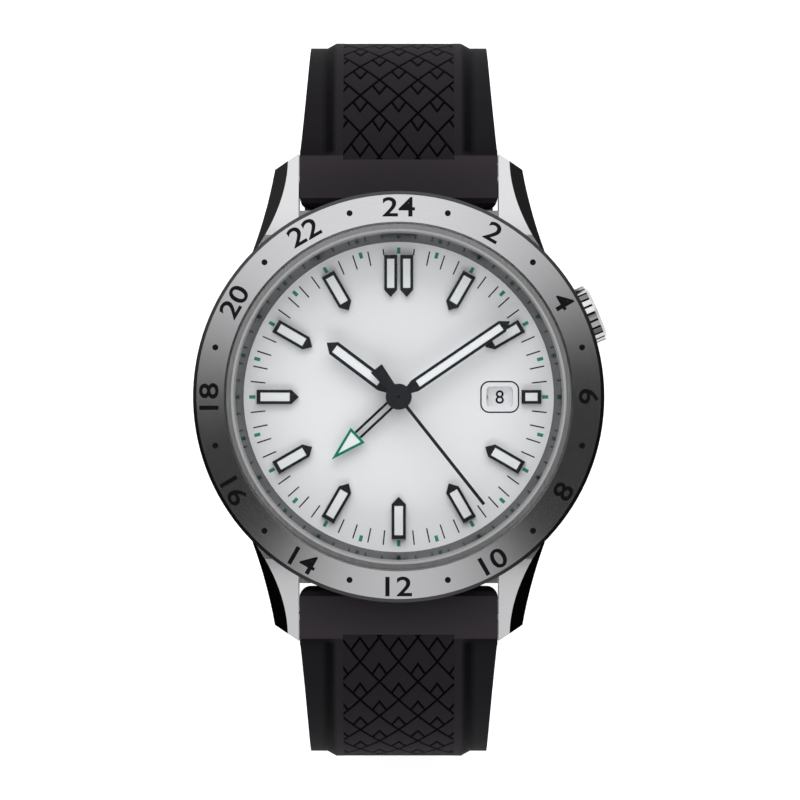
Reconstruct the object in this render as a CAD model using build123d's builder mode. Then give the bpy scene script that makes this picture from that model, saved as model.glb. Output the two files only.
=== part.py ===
from build123d import *
import os
from math import acos, cos, degrees, radians, sin

os.makedirs("parts", exist_ok=True)

# Frame: X to 3 o'clock, Y to 12 o'clock, Z out of the dial, origin on the outer face of the case back.
# All lengths are in millimetres.

# Shared fits and gaps
running_gap = 0.03
seat_gap = 0.05
level_gap = 0.14
motion_gap = 0.05
overrun = 1.0

# Case back and its window
back_radius = 17.0
back_flange = 1.3
back_chamfer = 0.35
back_neck_radius = 16.15
back_neck_wall = 0.95
back_neck_height = 1.1
window_radius = 12.6
back_glass_radius = 13.15
back_glass_recess = 0.1
back_glass_ledge = 0.35
glass_gasket_width = 0.25
notch_count = 6
notch_radius = 15.2
notch_length = 1.6
notch_width = 1.0
notch_depth = 0.55
back_gasket_radius = 16.4
back_gasket_width = 0.4
back_gasket_height = 0.35

# Rotor
rotor_radius = 12.2
rotor_rim_width = 2.0
rotor_rim_height = 0.95
rotor_web = 0.25
rotor_web_drop = 0.12
rotor_hub_radius = 2.7
rotor_gap = 0.12
bearing_radius = 1.55
bearing_head_radius = 1.95
bearing_head = 0.16

# Movement plates
movement_radius = 12.8
plate_thickness = 1.4
bridge_radius = 12.6
bridge_thickness = 0.65
pad_radius = 0.9
pad_circle = 11.5
bridge_split = 1.5
bridge_split_gap = 0.2
barrel_bridge_pads = (66, -66)
train_bridge_pads = (345, 285)
screw_head_radius = 0.65
screw_head = 0.3
screw_shank_radius = 0.35
screw_depth = 0.7
jewel_radius = 0.45
jewel_thickness = 0.3

# Going train
wheel_thickness = 0.16
pinion_height = 0.42
arbor_radius = 0.15
pivot_depth = 0.5
seconds_arbor_radius = 0.12
centre_module = 0.11
centre_teeth = 64
third_pinion_teeth = 8
third_module = 0.1165
third_teeth = 60
fourth_pinion_teeth = 8
fourth_module = 0.1
fourth_teeth = 70
escape_pinion_teeth = 7
escape_teeth = 20
escape_module = 0.2
barrel_module = 0.155
barrel_teeth = 72
centre_pinion_teeth = 12
barrel_drum_margin = 0.3
barrel_arbor_radius = 0.5
spoke_width = 0.45
tooth_tip_share = 0.8
tooth_root_share = 1.2
escape_rim_width = 0.67
third_direction = -60
barrel_direction = 120
escape_direction = 230

# Balance and pallet fork
balance_direction = 222
balance_distance = 8.04
balance_radius = 4.0
balance_rim_width = 0.45
balance_rim_height = 0.24
balance_arm_width = 0.5
roller_radius = 0.3
balance_opening = 3.5
cock_foot_direction = 246
cock_foot_distance = 11.3
cock_arm_radius = 1.2
hairspring_start = 0.7
hairspring_pitch = 0.4
hairspring_width = 0.07
hairspring_height = 0.1
hairspring_half_turns = 8
fork_pivot_share = 0.6
fork_width = 0.35
fork_arm = 1.15
fork_stone_gap = 0.08

# Motion work under the dial
motion_level = 0.15
cannon_module = 0.125
cannon_teeth = 10
minute_wheel_teeth = 30
hour_module = 0.1
minute_pinion_teeth = 10
hour_teeth = 40
day_module = 0.1
hour_day_teeth = 24
idler_teeth = 24
idler_pinion_teeth = 16
day_teeth = 32
stud_radius = 0.25
pipe_wall = 0.12
cannon_wall = 0.15
minute_wheel_direction = -40
idler_direction = 100

# Date ring
date_ring_inner = 8.6
date_ring_outer = 11.6
date_ring_thickness = 0.7
date_ring_teeth = 31
date_tooth_depth = 0.35

# Dial
dial_radius = 15.9
dial_thickness = 0.4
dial_hole_gap = 0.1
date_window_radius = 10.1
date_window_width = 2.64
date_window_height = 2.1
date_window_corner = 0.45
dial_foot_radius = 0.35
dial_foot_circle = 12.25
dial_foot_directions = (60, 240)

# Applied markers
marker_inner = 9.98
marker_outer = 14.19
marker_width = 1.42
marker_height = 0.35
marker_point = 0.73
marker_frame = 0.28
marker_end_frame = 0.38
marker_lume_start = 0.91
marker_lume_depth = 0.12
lume_below_frame = 0.02
twelve_width = 1.29
twelve_offset = 0.8
three_inner = 12.27
three_outer = 14.25
three_width = 1.38

# Hands
hand_gap = 0.17
hand_thickness = 0.15
first_hand_gap = 0.42
hour_hand_length = 9.0
hour_hand_width = 1.5
hour_hand_angle = 306.9
hour_lume_inner = 2.4
hour_lume_outer = 8.0
hour_lume_width = 0.84
minute_hand_length = 13.4
minute_hand_width = 1.3
minute_hand_angle = 55.8
minute_lume_inner = 2.3
minute_lume_outer = 12.4
minute_lume_width = 0.72
hand_neck_width = 0.7
hand_tip_length = 0.9
day_hand_length = 9.18
day_hand_angle = 226.9
day_stem_width = 0.95
day_rail_width = 0.25
day_triangle_base = 5.6
day_triangle_width = 2.06
day_triangle_frame = 0.25
seconds_hand_length = 13.7
seconds_hand_width = 0.33
seconds_hand_angle = 141.6
seconds_tail_length = 3.6
seconds_tail_width = 1.4
seconds_tail_neck = 0.75
seconds_hub_radius = 1.3
hub_radius = 1.05
seconds_hub_height = 0.2

# Case, crystal and inner flange
case_radius = 20.0
case_foot_radius = 18.8
case_shoulder_rise = 1.0
case_foot_chamfer = 0.5
lug_gap = 20.0
nose_wall_gap = 0.3
lug_tip_half = 12.4
lug_tip_run = 0.9
lug_end_run = 2.5
lug_root_half = 14.6
lug_root_reach = 14.5
lug_root_inner = 12.0
lug_tip_top = 6.5
lug_tip_low = 1.8
lug_hollow = 0.2
lug_bevel_drop = 0.4
lug_bevel_root = 0.2
lug_bevel_tip = 0.9
lug_bevel_slope_share = 0.65
neck_inner = 16.7
neck_outer = 17.15
neck_rise = 2.1
flange_inner = 15.5
flange_top_radius = 16.3
flange_height = 1.9
flange_gap = 0.05
crystal_radius = 16.45
crystal_edge = 1.45
crystal_chamfer = 0.2

# Bezel
bezel_width = 3.25
bezel_gap = 0.12
bezel_neck_gap = 0.1
bezel_edge_height = 1.25
bezel_bevel = 0.35
bezel_bevel_rise = 0.2
bezel_height = 2.15
bezel_lip = 0.15
bezel_foot = 0.4
spring_depth = 0.15
spring_width = 0.38
spring_height = 0.26
spring_rise = 0.55

# Crown, stem and tube
crown_direction = 23.4
crown_radius = 2.95
crown_length = 1.9
crown_flat_depth = 0.7
crown_flat_width = 11.8
crown_back_gap = 0.5
crown_end_wall = 0.6
crown_end_dome = 0.3
crown_end_slope = 45
crown_flutes = 24
crown_flute_depth = 0.22
crown_flute_share = 0.3
tube_radius = 1.1
tube_bore = 0.75
tube_stand = 1.65
crown_gasket_width = 0.3
crown_gasket_length = 0.5
stem_radius = 0.45
stem_inner_reach = 8.9
winding_pinion_radius = 0.6
winding_pinion_sides = 12
winding_pinion_inner = 10.2
winding_pinion_length = 1.2
winding_pinion_gap = 0.15

# Strap
bar_reach = 21.9
bar_height = 4.8
bar_radius = 0.75
bar_tip_radius = 0.4
bar_tip_length = 0.9
bar_bore_gap = 0.1
nose_radius = 3.0
nose_side_gap = 0.1
nose_top_run = 2.5
nose_corner = 0.5
nose_round = 1.1
heel_height = 1.6
heel_half = 8.0
turn_start = 0.5
rib_radius = 14.0
rib_height = 0.5
rib_width = 12.7
rib_slope = 0.9
rib_end_drop = 8.0
field_width = 11.1
field_depth = 0.25
field_overlap = 0.45
field_end = 1.0
block_length = 1.8
strap_thickness = 3.0
strap_end_thickness = 2.4
strap_end_width = 17.8
strap_mid_run = 7.5
strap_mid_half = 9.35
loop_drop = 52.0
foot_turn_radius = 8.0
tail_end = 2.0
tail_tip_radius = 7.0
hole_radius = 1.1
hole_pitch = 5.6
hole_count = 4
hole_first = 8.0
buckle_bar_reach = 13.0
buckle_nose_radius = 1.7
tongue_slot = 3.2

# Keepers
keeper_wall = 1.1
keeper_play = 0.4
keeper_side_gap = 0.15
keeper_length = 4.0
keeper_spacing = 0.6
fixed_keeper_start = 16.2

# Buckle
frame_gap = 0.3
frame_cheek = 1.8
frame_thickness = 2.2
frame_head = 1.5
frame_bow = 2.0
frame_window = 6.8
frame_corner = 1.6
frame_notch = 0.5
tongue_width = 2.4
tongue_thickness = 1.0
tongue_eye_radius = 1.45
tongue_tip = 0.5

# Heights, stacked from the case back
rotor_low = back_flange + rotor_gap
rotor_top = rotor_low + rotor_rim_height
bridge_low = rotor_top + level_gap
bridge_top = bridge_low + bridge_thickness
fourth_low = bridge_top + level_gap
third_low = fourth_low + wheel_thickness + level_gap
escape_low = third_low + wheel_thickness + level_gap
pinion_top = escape_low + pinion_height
centre_low = pinion_top + level_gap
plate_low = centre_low + wheel_thickness + level_gap
plate_top = plate_low + plate_thickness
level_step = motion_level + motion_gap
motion_a = plate_top + motion_gap
motion_b = motion_a + level_step
motion_c = motion_b + level_step
motion_d = motion_c + level_step
dial_low = motion_d + level_step
dial_top = dial_low + dial_thickness
day_hand_low = dial_top + first_hand_gap
hour_hand_low = day_hand_low + hand_thickness + hand_gap
minute_hand_low = hour_hand_low + hand_thickness + hand_gap
seconds_hand_low = minute_hand_low + hand_thickness + hand_gap
flange_top = dial_top + flange_height
case_bore = back_neck_radius + seat_gap
shoulder = dial_top + case_shoulder_rise
neck_top = shoulder + neck_rise
bezel_low = shoulder + bezel_gap
stem_height = plate_low + plate_thickness / 2

# Reaches from the centre along Y, which all follow the spring bars
lug_wall_reach = bar_reach - nose_radius - nose_wall_gap
lug_tip_reach = bar_reach + lug_tip_run
lug_end_reach = bar_reach + lug_end_run
turn_reach = bar_reach + turn_start
block_reach = turn_reach + block_length
strap_mid_reach = turn_reach + strap_mid_run

# Bezel and crown, which follow the neck and the case
bezel_bore = neck_outer + bezel_neck_gap
bezel_radius = bezel_bore + bezel_width
crown_flat = case_radius - crown_flat_depth
crown_inner_reach = crown_flat + crown_back_gap
crown_outer_reach = crown_inner_reach + crown_length
crown_cavity_end = crown_outer_reach - crown_end_wall
stem_end = crown_cavity_end + crown_end_wall / 2
tube_end = crown_flat + tube_stand

# Radii of the nested pipes at the centre
centre_pipe_bore = seconds_arbor_radius + running_gap
centre_pipe = centre_pipe_bore + pipe_wall
cannon_pipe = centre_pipe + cannon_wall
hour_pipe_bore = cannon_pipe + running_gap
hour_pipe = hour_pipe_bore + cannon_wall
day_pipe_bore = hour_pipe + running_gap
day_pipe = day_pipe_bore + cannon_wall

# Wheel places
third_distance = (centre_teeth + third_pinion_teeth) * centre_module / 2
escape_distance = (fourth_teeth + escape_pinion_teeth) * fourth_module / 2
barrel_distance = (barrel_teeth + centre_pinion_teeth) * barrel_module / 2
minute_wheel_distance = (cannon_teeth + minute_wheel_teeth) * cannon_module / 2
idler_distance = (hour_day_teeth + idler_teeth) * day_module / 2


def polar(distance, direction):
    """Point at a distance from the centre, direction in degrees from 3 o'clock."""
    return (distance * cos(radians(direction)), distance * sin(radians(direction)))


third_place = polar(third_distance, third_direction)
escape_place = polar(escape_distance, escape_direction)
barrel_place = polar(barrel_distance, barrel_direction)
balance_place = polar(balance_distance, balance_direction)
minute_wheel_place = polar(minute_wheel_distance, minute_wheel_direction)
idler_place = polar(idler_distance, idler_direction)
cock_foot_place = polar(cock_foot_distance, cock_foot_direction)
fork_gap_x = balance_place[0] - escape_place[0]
fork_gap_y = balance_place[1] - escape_place[1]
fork_run = (fork_gap_x ** 2 + fork_gap_y ** 2) ** 0.5
fork_place = (escape_place[0] + fork_gap_x * fork_pivot_share,
              escape_place[1] + fork_gap_y * fork_pivot_share)
fork_direction = -degrees(acos(fork_gap_x / fork_run))


def disc(place, radius, low, height, mode=Mode.ADD):
    """Adds a round disc to the part being built."""
    with BuildSketch(Plane.XY.offset(low)) as profile:
        with Locations(place):
            Circle(radius)
    extrude(profile.sketch, amount=height, mode=mode)


def ring(inner, outer, low, height):
    """Adds a flat ring about the centre to the part being built."""
    with BuildSketch(Plane.XY.offset(low)) as profile:
        Circle(outer)
        Circle(inner, mode=Mode.SUBTRACT)
    extrude(profile.sketch, amount=height)


def tooth_points(teeth, module, tooth_at, place=(0, 0)):
    """Outline of a toothed wheel, with a tooth in the direction tooth_at."""
    tip = module * (teeth / 2 + tooth_tip_share)
    root = module * (teeth / 2 - tooth_root_share)
    points = []
    for index in range(teeth):
        angle = tooth_at + 360 * index / teeth
        tip_x, tip_y = polar(tip, angle)
        root_x, root_y = polar(root, angle + 180 / teeth)
        points.append((place[0] + tip_x, place[1] + tip_y))
        points.append((place[0] + root_x, place[1] + root_y))
    return points


def gear(teeth, module, tooth_at, place, low, height):
    """Adds a toothed wheel or pinion to the part being built."""
    with BuildSketch(Plane.XY.offset(low)) as profile:
        with BuildLine():
            Polyline(*tooth_points(teeth, module, tooth_at, place), close=True)
        make_face()
    extrude(profile.sketch, amount=height)


def spoke_windows(place, hub, rim, low, height, count=4):
    """Cuts the windows between the spokes of a wheel."""
    half = spoke_width / 2
    corners = [(hub, half), (rim, half), polar(rim, 180 / count), (half, rim), (half, hub)]
    for index in range(count):
        turn = radians(360 * index / count)
        points = [(place[0] + x * cos(turn) - y * sin(turn), place[1] + x * sin(turn) + y * cos(turn))
                  for x, y in corners]
        with BuildSketch(Plane.XY.offset(low)) as profile:
            with BuildLine():
                Polyline(*points, close=True)
            make_face()
        extrude(profile.sketch, amount=height, mode=Mode.SUBTRACT)


def revolved(points, mode=Mode.ADD):
    """Turns an outline of (radius, height) points about the centre line."""
    with BuildSketch(Plane.XZ) as profile:
        with BuildLine():
            Polyline(*points, close=True)
        make_face()
    revolve(profile.sketch, axis=Axis.Z, mode=mode)


def hand_plane(level, clock_angle):
    """Plane at a level whose Y points along a hand at the clock angle."""
    turn = radians(clock_angle)
    return Plane(origin=(0, 0, level), x_dir=(cos(turn), -sin(turn), 0), z_dir=(0, 0, 1))


def crown_plane(reach):
    """Plane square to the crown's axis at a distance from the centre."""
    out_x, out_y = polar(1, crown_direction)
    return Plane(origin=(out_x * reach, out_y * reach, stem_height),
                 x_dir=(-out_y, out_x, 0), z_dir=(out_x, out_y, 0))


def crown_disc(radius, start, length, mode=Mode.ADD):
    """Adds a round length along the crown's axis to the part being built."""
    with BuildSketch(crown_plane(start)) as profile:
        Circle(radius)
    extrude(profile.sketch, amount=length, mode=mode)


# Mid case: a turned ring with four lugs, a flat wall between each pair, and a neck for the bezel
lug_plan = [(lug_gap / 2, lug_root_inner), (lug_gap / 2, lug_end_reach), (lug_tip_half, lug_tip_reach)]

with BuildPart() as lug:
    with BuildSketch():
        with BuildLine():
            Polyline(*lug_plan)
            ThreePointArc((lug_tip_half, lug_tip_reach),
                          ((lug_tip_half + lug_root_half) / 2 - lug_hollow,
                           (lug_tip_reach + lug_root_reach) / 2),
                          (lug_root_half, lug_root_reach))
            Polyline((lug_root_half, lug_root_reach), (lug_root_inner, lug_root_inner),
                     (lug_gap / 2, lug_root_inner))
        make_face()
    extrude(amount=shoulder)
    with BuildSketch(Plane.YZ):
        with BuildLine():
            Line((lug_root_inner, back_flange), (lug_root_inner, shoulder))
            Line((lug_root_inner, shoulder), (lug_root_reach, shoulder))
            ThreePointArc((lug_root_reach, shoulder),
                          (bar_reach - bar_radius, (shoulder + lug_tip_top) / 2 + lug_hollow),
                          (lug_end_reach, lug_tip_top))
            Line((lug_end_reach, lug_tip_top), (lug_end_reach, lug_tip_low))
            ThreePointArc((lug_end_reach, lug_tip_low),
                          ((lug_end_reach + lug_root_reach) / 2,
                           (back_flange + lug_tip_low) / 2 - lug_hollow / 2),
                          (lug_root_reach, back_flange))
            Line((lug_root_reach, back_flange), (lug_root_inner, back_flange))
        make_face()
    extrude(amount=case_radius, mode=Mode.INTERSECT)
    bevel_root = Vector(lug_root_half - lug_bevel_root, lug_root_reach, shoulder)
    bevel_tip = Vector(lug_tip_half - lug_bevel_tip, lug_tip_reach, lug_tip_top + lug_bevel_drop)
    bevel_run = bevel_tip - bevel_root
    bevel_face = bevel_run.cross(Vector(-1, 0, lug_bevel_slope_share))
    with BuildSketch(Plane(origin=bevel_root, x_dir=bevel_run, z_dir=bevel_face)):
        Rectangle(2 * case_radius, 2 * case_radius)
    extrude(amount=case_radius, mode=Mode.SUBTRACT)

with BuildPart() as mid_case:
    with BuildSketch(Plane.XZ):
        with BuildLine():
            Polyline((0, shoulder), (0, back_flange), (case_foot_radius - case_foot_chamfer, back_flange),
                     (case_foot_radius, back_flange + case_foot_chamfer))
            Polyline((case_foot_radius, back_flange + case_foot_chamfer),
                     (case_radius, (back_flange + shoulder) / 2), (case_radius, shoulder), (0, shoulder))
        make_face()
    revolve(axis=Axis.Z)
    add(lug.part)
    mirror(lug.part, about=Plane.YZ)
    mirror(lug.part, about=Plane.XZ)
    add(lug.part, rotation=(0, 0, 180))
    with BuildSketch(Plane.XY.offset(back_flange)):
        Rectangle(lug_gap, 2 * lug_wall_reach)
    extrude(amount=shoulder - back_flange)
    with BuildSketch(Plane.XY.offset(-overrun)):
        for side in (1, -1):
            with Locations((0, side * lug_wall_reach)):
                Rectangle(lug_gap, lug_end_reach, align=(Align.CENTER, Align.MIN if side > 0 else Align.MAX))
    extrude(amount=shoulder + 2 * overrun, mode=Mode.SUBTRACT)
    ring(neck_inner, neck_outer, shoulder, neck_rise)
    disc((0, 0), case_bore, -overrun, shoulder + 2 * overrun, Mode.SUBTRACT)
    disc((0, 0), neck_inner, dial_top, neck_rise + shoulder, Mode.SUBTRACT)
    revolved([(neck_outer - spring_depth, shoulder + bezel_gap + spring_rise - seat_gap),
              (neck_outer + overrun, shoulder + bezel_gap + spring_rise - seat_gap),
              (neck_outer + overrun, shoulder + bezel_gap + spring_rise + spring_height + seat_gap),
              (neck_outer - spring_depth, shoulder + bezel_gap + spring_rise + spring_height + seat_gap)],
             Mode.SUBTRACT)
    revolved([(back_gasket_radius, back_flange - overrun),
              (back_gasket_radius + back_gasket_width, back_flange - overrun),
              (back_gasket_radius + back_gasket_width, back_flange + back_gasket_height),
              (back_gasket_radius, back_flange + back_gasket_height)], Mode.SUBTRACT)
    with BuildSketch(crown_plane(crown_flat)):
        Rectangle(crown_flat_width, crown_flat_width)
    extrude(amount=crown_flat_depth + overrun, mode=Mode.SUBTRACT)
    crown_disc(tube_radius, neck_inner - overrun, crown_flat - neck_inner + 2 * overrun, Mode.SUBTRACT)
    for side in (1, -1):
        with BuildSketch(Plane.YZ):
            with Locations((side * bar_reach, bar_height)):
                Circle(bar_tip_radius + seat_gap)
        extrude(amount=lug_gap / 2 + bar_tip_length + seat_gap, both=True, mode=Mode.SUBTRACT)
mid_case.part.label = "mid_case"
export_step(mid_case.part, "parts/mid_case.step")

# Bezel: a sloping steel ring that turns about the neck
spring_low = bezel_low + spring_rise

with BuildPart() as bezel:
    revolved([(bezel_bore, bezel_low), (bezel_radius - bezel_foot, bezel_low),
              (bezel_radius, bezel_low + bezel_foot), (bezel_radius, bezel_low + bezel_edge_height),
              (bezel_radius - bezel_bevel, bezel_low + bezel_edge_height + bezel_bevel_rise),
              (bezel_bore + bezel_lip, bezel_low + bezel_height),
              (bezel_bore, bezel_low + bezel_height - bezel_lip)])
    revolved([(bezel_bore - overrun / 2, spring_low - seat_gap),
              (neck_outer - spring_depth + spring_width + seat_gap, spring_low - seat_gap),
              (neck_outer - spring_depth + spring_width + seat_gap, spring_low + spring_height + seat_gap),
              (bezel_bore - overrun / 2, spring_low + spring_height + seat_gap)], Mode.SUBTRACT)
bezel.part.label = "bezel"
export_step(bezel.part, "parts/bezel.step")

# Bezel spring: an open wire ring that sits half in the neck and half in the bezel
with BuildPart() as bezel_spring:
    ring(neck_outer - spring_depth, neck_outer - spring_depth + spring_width, spring_low, spring_height)
    with BuildSketch(Plane.XY.offset(spring_low)):
        with Locations((-neck_outer, 0)):
            Rectangle(2 * spring_width, 2 * spring_width)
    extrude(amount=spring_height, mode=Mode.SUBTRACT)
bezel_spring.part.label = "bezel_spring"
export_step(bezel_spring.part, "parts/bezel_spring.step")

# Inner flange: a conical ring that stands on the edge of the dial
with BuildPart() as inner_flange:
    revolved([(flange_inner, dial_top), (flange_top_radius, flange_top),
              (neck_inner - flange_gap, flange_top), (neck_inner - flange_gap, dial_top)])
inner_flange.part.label = "inner_flange"
export_step(inner_flange.part, "parts/inner_flange.step")

# Crystal and its gasket, pressed into the neck above the flange
with BuildPart() as crystal:
    revolved([(0, flange_top + crystal_edge), (0, flange_top), (crystal_radius, flange_top),
              (crystal_radius, flange_top + crystal_edge - crystal_chamfer),
              (crystal_radius - crystal_chamfer, flange_top + crystal_edge)])
crystal.part.label = "crystal"
export_step(crystal.part, "parts/crystal.step")

with BuildPart() as crystal_gasket:
    ring(crystal_radius, neck_inner, flange_top, neck_top - flange_top)
crystal_gasket.part.label = "crystal_gasket"
export_step(crystal_gasket.part, "parts/crystal_gasket.step")

# Case back: a flanged ring with a neck, tool notches and a window
glass_ledge_low = back_flange - back_glass_ledge
glass_bore = back_glass_radius + glass_gasket_width

with BuildPart() as case_back:
    revolved([(glass_bore, 0), (back_radius - back_chamfer, 0), (back_radius, back_chamfer),
              (back_radius, back_flange),
              (back_neck_radius, back_flange), (back_neck_radius, back_flange + back_neck_height),
              (back_neck_radius - back_neck_wall, back_flange + back_neck_height),
              (back_neck_radius - back_neck_wall, back_flange), (window_radius, back_flange),
              (window_radius, glass_ledge_low), (glass_bore, glass_ledge_low)])
    with BuildSketch():
        with PolarLocations(notch_radius, notch_count):
            Rectangle(notch_length, notch_width)
    extrude(amount=notch_depth, mode=Mode.SUBTRACT)
case_back.part.label = "case_back"
export_step(case_back.part, "parts/case_back.step")

with BuildPart() as back_glass:
    disc((0, 0), back_glass_radius, back_glass_recess, glass_ledge_low - back_glass_recess)
back_glass.part.label = "back_glass"
export_step(back_glass.part, "parts/back_glass.step")

with BuildPart() as glass_gasket:
    ring(back_glass_radius, glass_bore, back_glass_recess, glass_ledge_low - back_glass_recess)
glass_gasket.part.label = "glass_gasket"
export_step(glass_gasket.part, "parts/glass_gasket.step")

with BuildPart() as back_gasket:
    ring(back_gasket_radius, back_gasket_radius + back_gasket_width, back_flange, back_gasket_height)
back_gasket.part.label = "back_gasket"
export_step(back_gasket.part, "parts/back_gasket.step")

# Movement holder: the ring between movement and case, which carries the dial's edge
with BuildPart() as movement_holder:
    revolved([(movement_radius, plate_low), (case_bore, back_flange + back_neck_height),
              (case_bore, dial_low),
              (dial_foot_circle + pad_radius, dial_low), (dial_foot_circle + pad_radius, plate_top),
              (movement_radius, plate_top)])
    crown_disc(tube_bore, movement_radius - overrun, back_neck_radius - movement_radius + 2 * overrun,
               Mode.SUBTRACT)
movement_holder.part.label = "movement_holder"
export_step(movement_holder.part, "parts/movement_holder.step")

# Main plate: carries the train below and the motion work, date ring and dial above
hour_stud_top = motion_b + motion_level
idler_stud_top = motion_d + motion_level
pinion_pocket_low = winding_pinion_inner - winding_pinion_gap
pinion_pocket_length = winding_pinion_length + 2 * winding_pinion_gap
screw_places = [polar(pad_circle, barrel_direction + turn) for turn in barrel_bridge_pads]
screw_places += [polar(pad_circle, direction) for direction in train_bridge_pads]
screw_places.append(cock_foot_place)

with BuildPart() as main_plate:
    disc((0, 0), movement_radius, plate_low, plate_thickness)
    disc(minute_wheel_place, stud_radius, plate_top, hour_stud_top - plate_top)
    disc(idler_place, stud_radius, plate_top, idler_stud_top - plate_top)
    disc((0, 0), centre_pipe + running_gap, plate_low, plate_thickness, Mode.SUBTRACT)
    for place in (third_place, escape_place, balance_place, fork_place):
        disc(place, arbor_radius + running_gap, plate_low, pivot_depth + running_gap, Mode.SUBTRACT)
    disc(barrel_place, barrel_arbor_radius, plate_low, pivot_depth, Mode.SUBTRACT)
    for place in screw_places:
        disc(place, screw_shank_radius, plate_low, screw_depth, Mode.SUBTRACT)
    for direction in dial_foot_directions:
        disc(polar(dial_foot_circle, direction), dial_foot_radius, plate_low, plate_thickness, Mode.SUBTRACT)
    crown_disc(stem_radius + running_gap, stem_inner_reach - level_gap, movement_radius, Mode.SUBTRACT)
    with BuildSketch(crown_plane(pinion_pocket_low)):
        Rectangle(2 * winding_pinion_radius + 2 * winding_pinion_gap, 2 * plate_thickness)
    extrude(amount=pinion_pocket_length, mode=Mode.SUBTRACT)
main_plate.part.label = "main_plate"
export_step(main_plate.part, "parts/main_plate.step")

# Bridges: the lower plates that carry the other ends of the arbors
split_turn = Plane(origin=(0, 0, bridge_low), x_dir=(*polar(1, barrel_direction), 0), z_dir=(0, 0, 1))
balance_across = balance_distance * sin(radians(balance_direction - barrel_direction))


def bridge_holes(pad_places, hole_places, hole_radius_here):
    """Adds the pads that stand on the main plate, and cuts screw and pivot holes."""
    for place in pad_places:
        disc(place, pad_radius, bridge_top, plate_low - bridge_top)
    for place in pad_places:
        disc(place, screw_head_radius, bridge_low, screw_head, Mode.SUBTRACT)
        disc(place, screw_shank_radius, bridge_low, plate_low - bridge_low, Mode.SUBTRACT)
    for place in hole_places:
        disc(place, hole_radius_here, bridge_low, bridge_thickness, Mode.SUBTRACT)


with BuildPart() as barrel_bridge:
    disc((0, 0), bridge_radius, bridge_low, bridge_thickness)
    with BuildSketch(split_turn):
        with Locations((bridge_split + bridge_split_gap, 0)):
            Rectangle(2 * bridge_radius, 3 * bridge_radius, align=(Align.MIN, Align.CENTER))
    extrude(amount=bridge_thickness, mode=Mode.INTERSECT)
    bridge_holes(screw_places[:2], [barrel_place], barrel_arbor_radius)
barrel_bridge.part.label = "barrel_bridge"
export_step(barrel_bridge.part, "parts/barrel_bridge.step")

with BuildPart() as train_bridge:
    disc((0, 0), bridge_radius, bridge_low, bridge_thickness)
    with BuildSketch(split_turn):
        with Locations((bridge_split, 0)):
            Rectangle(2 * bridge_radius, 3 * bridge_radius, align=(Align.MAX, Align.CENTER))
    extrude(amount=bridge_thickness, mode=Mode.INTERSECT)
    with BuildSketch(Plane.XY.offset(bridge_low)):
        with Locations(balance_place):
            Circle(balance_opening)
        with Locations(polar(cock_foot_distance, cock_foot_direction)):
            Circle(cock_arm_radius + bridge_split_gap)
        make_hull()
    extrude(amount=bridge_thickness, mode=Mode.SUBTRACT)
    with BuildSketch(split_turn):
        with Locations((bridge_split + overrun, balance_across)):
            Rectangle(2 * bridge_radius, bridge_radius, align=(Align.MAX, Align.MIN))
    extrude(amount=bridge_thickness, mode=Mode.SUBTRACT)
    bridge_holes(screw_places[2:4], [third_place, escape_place, (0, 0)], jewel_radius)
train_bridge.part.label = "train_bridge"
export_step(train_bridge.part, "parts/train_bridge.step")

with BuildPart() as balance_cock:
    with BuildSketch(Plane.XY.offset(bridge_low)):
        with Locations(balance_place, cock_foot_place):
            Circle(cock_arm_radius)
        make_hull()
    extrude(amount=bridge_thickness)
    bridge_holes(screw_places[4:], [balance_place], jewel_radius)
balance_cock.part.label = "balance_cock"
export_step(balance_cock.part, "parts/balance_cock.step")

with BuildPart() as jewels:
    for place in ((0, 0), third_place, escape_place, balance_place):
        with BuildSketch(Plane.XY.offset(bridge_top - jewel_thickness)):
            with Locations(place):
                Circle(jewel_radius)
                Circle(arbor_radius + running_gap, mode=Mode.SUBTRACT)
        extrude(amount=jewel_thickness)
jewels.part.label = "jewels"
export_step(jewels.part, "parts/jewels.step")

with BuildPart() as bridge_screws:
    for place in screw_places:
        disc(place, screw_head_radius, bridge_low, screw_head)
        disc(place, screw_shank_radius, bridge_low + screw_head,
             plate_low + screw_depth - bridge_low - screw_head)
bridge_screws.part.label = "bridge_screws"
export_step(bridge_screws.part, "parts/bridge_screws.step")

# Going train: each wheel with its pinion and arbor
arbor_low = bridge_top - jewel_thickness
arbor_top = plate_low + pivot_depth
barrel_outer = barrel_module * (barrel_teeth / 2 - tooth_root_share)

with BuildPart() as barrel_arbor:
    disc(barrel_place, barrel_arbor_radius, bridge_low, arbor_top - bridge_low)
barrel_arbor.part.label = "barrel_arbor"
export_step(barrel_arbor.part, "parts/barrel_arbor.step")

with BuildPart() as mainspring_barrel:
    disc(barrel_place, barrel_outer - barrel_drum_margin, third_low, pinion_top - third_low)
    gear(barrel_teeth, barrel_module, barrel_direction + 180 + 180 / barrel_teeth, barrel_place,
         escape_low + motion_gap, pinion_height - 2 * motion_gap)
    disc(barrel_place, barrel_arbor_radius + running_gap, third_low, pinion_top - third_low, Mode.SUBTRACT)
mainspring_barrel.part.label = "mainspring_barrel"
export_step(mainspring_barrel.part, "parts/mainspring_barrel.step")

with BuildPart() as centre_wheel:
    gear(centre_teeth, centre_module, third_direction, (0, 0), centre_low, wheel_thickness)
    centre_rim = centre_module * centre_teeth / 2 - spoke_width
    spoke_windows((0, 0), hub_radius + spoke_width, centre_rim, centre_low, wheel_thickness)
    gear(centre_pinion_teeth, barrel_module, barrel_direction, (0, 0), escape_low, centre_low - escape_low)
    disc((0, 0), centre_pipe, escape_low, minute_hand_low + hand_thickness - escape_low)
    disc((0, 0), centre_pipe_bore, escape_low - overrun, minute_hand_low + 2 * overrun, Mode.SUBTRACT)
centre_wheel.part.label = "centre_wheel"
export_step(centre_wheel.part, "parts/centre_wheel.step")

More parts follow.
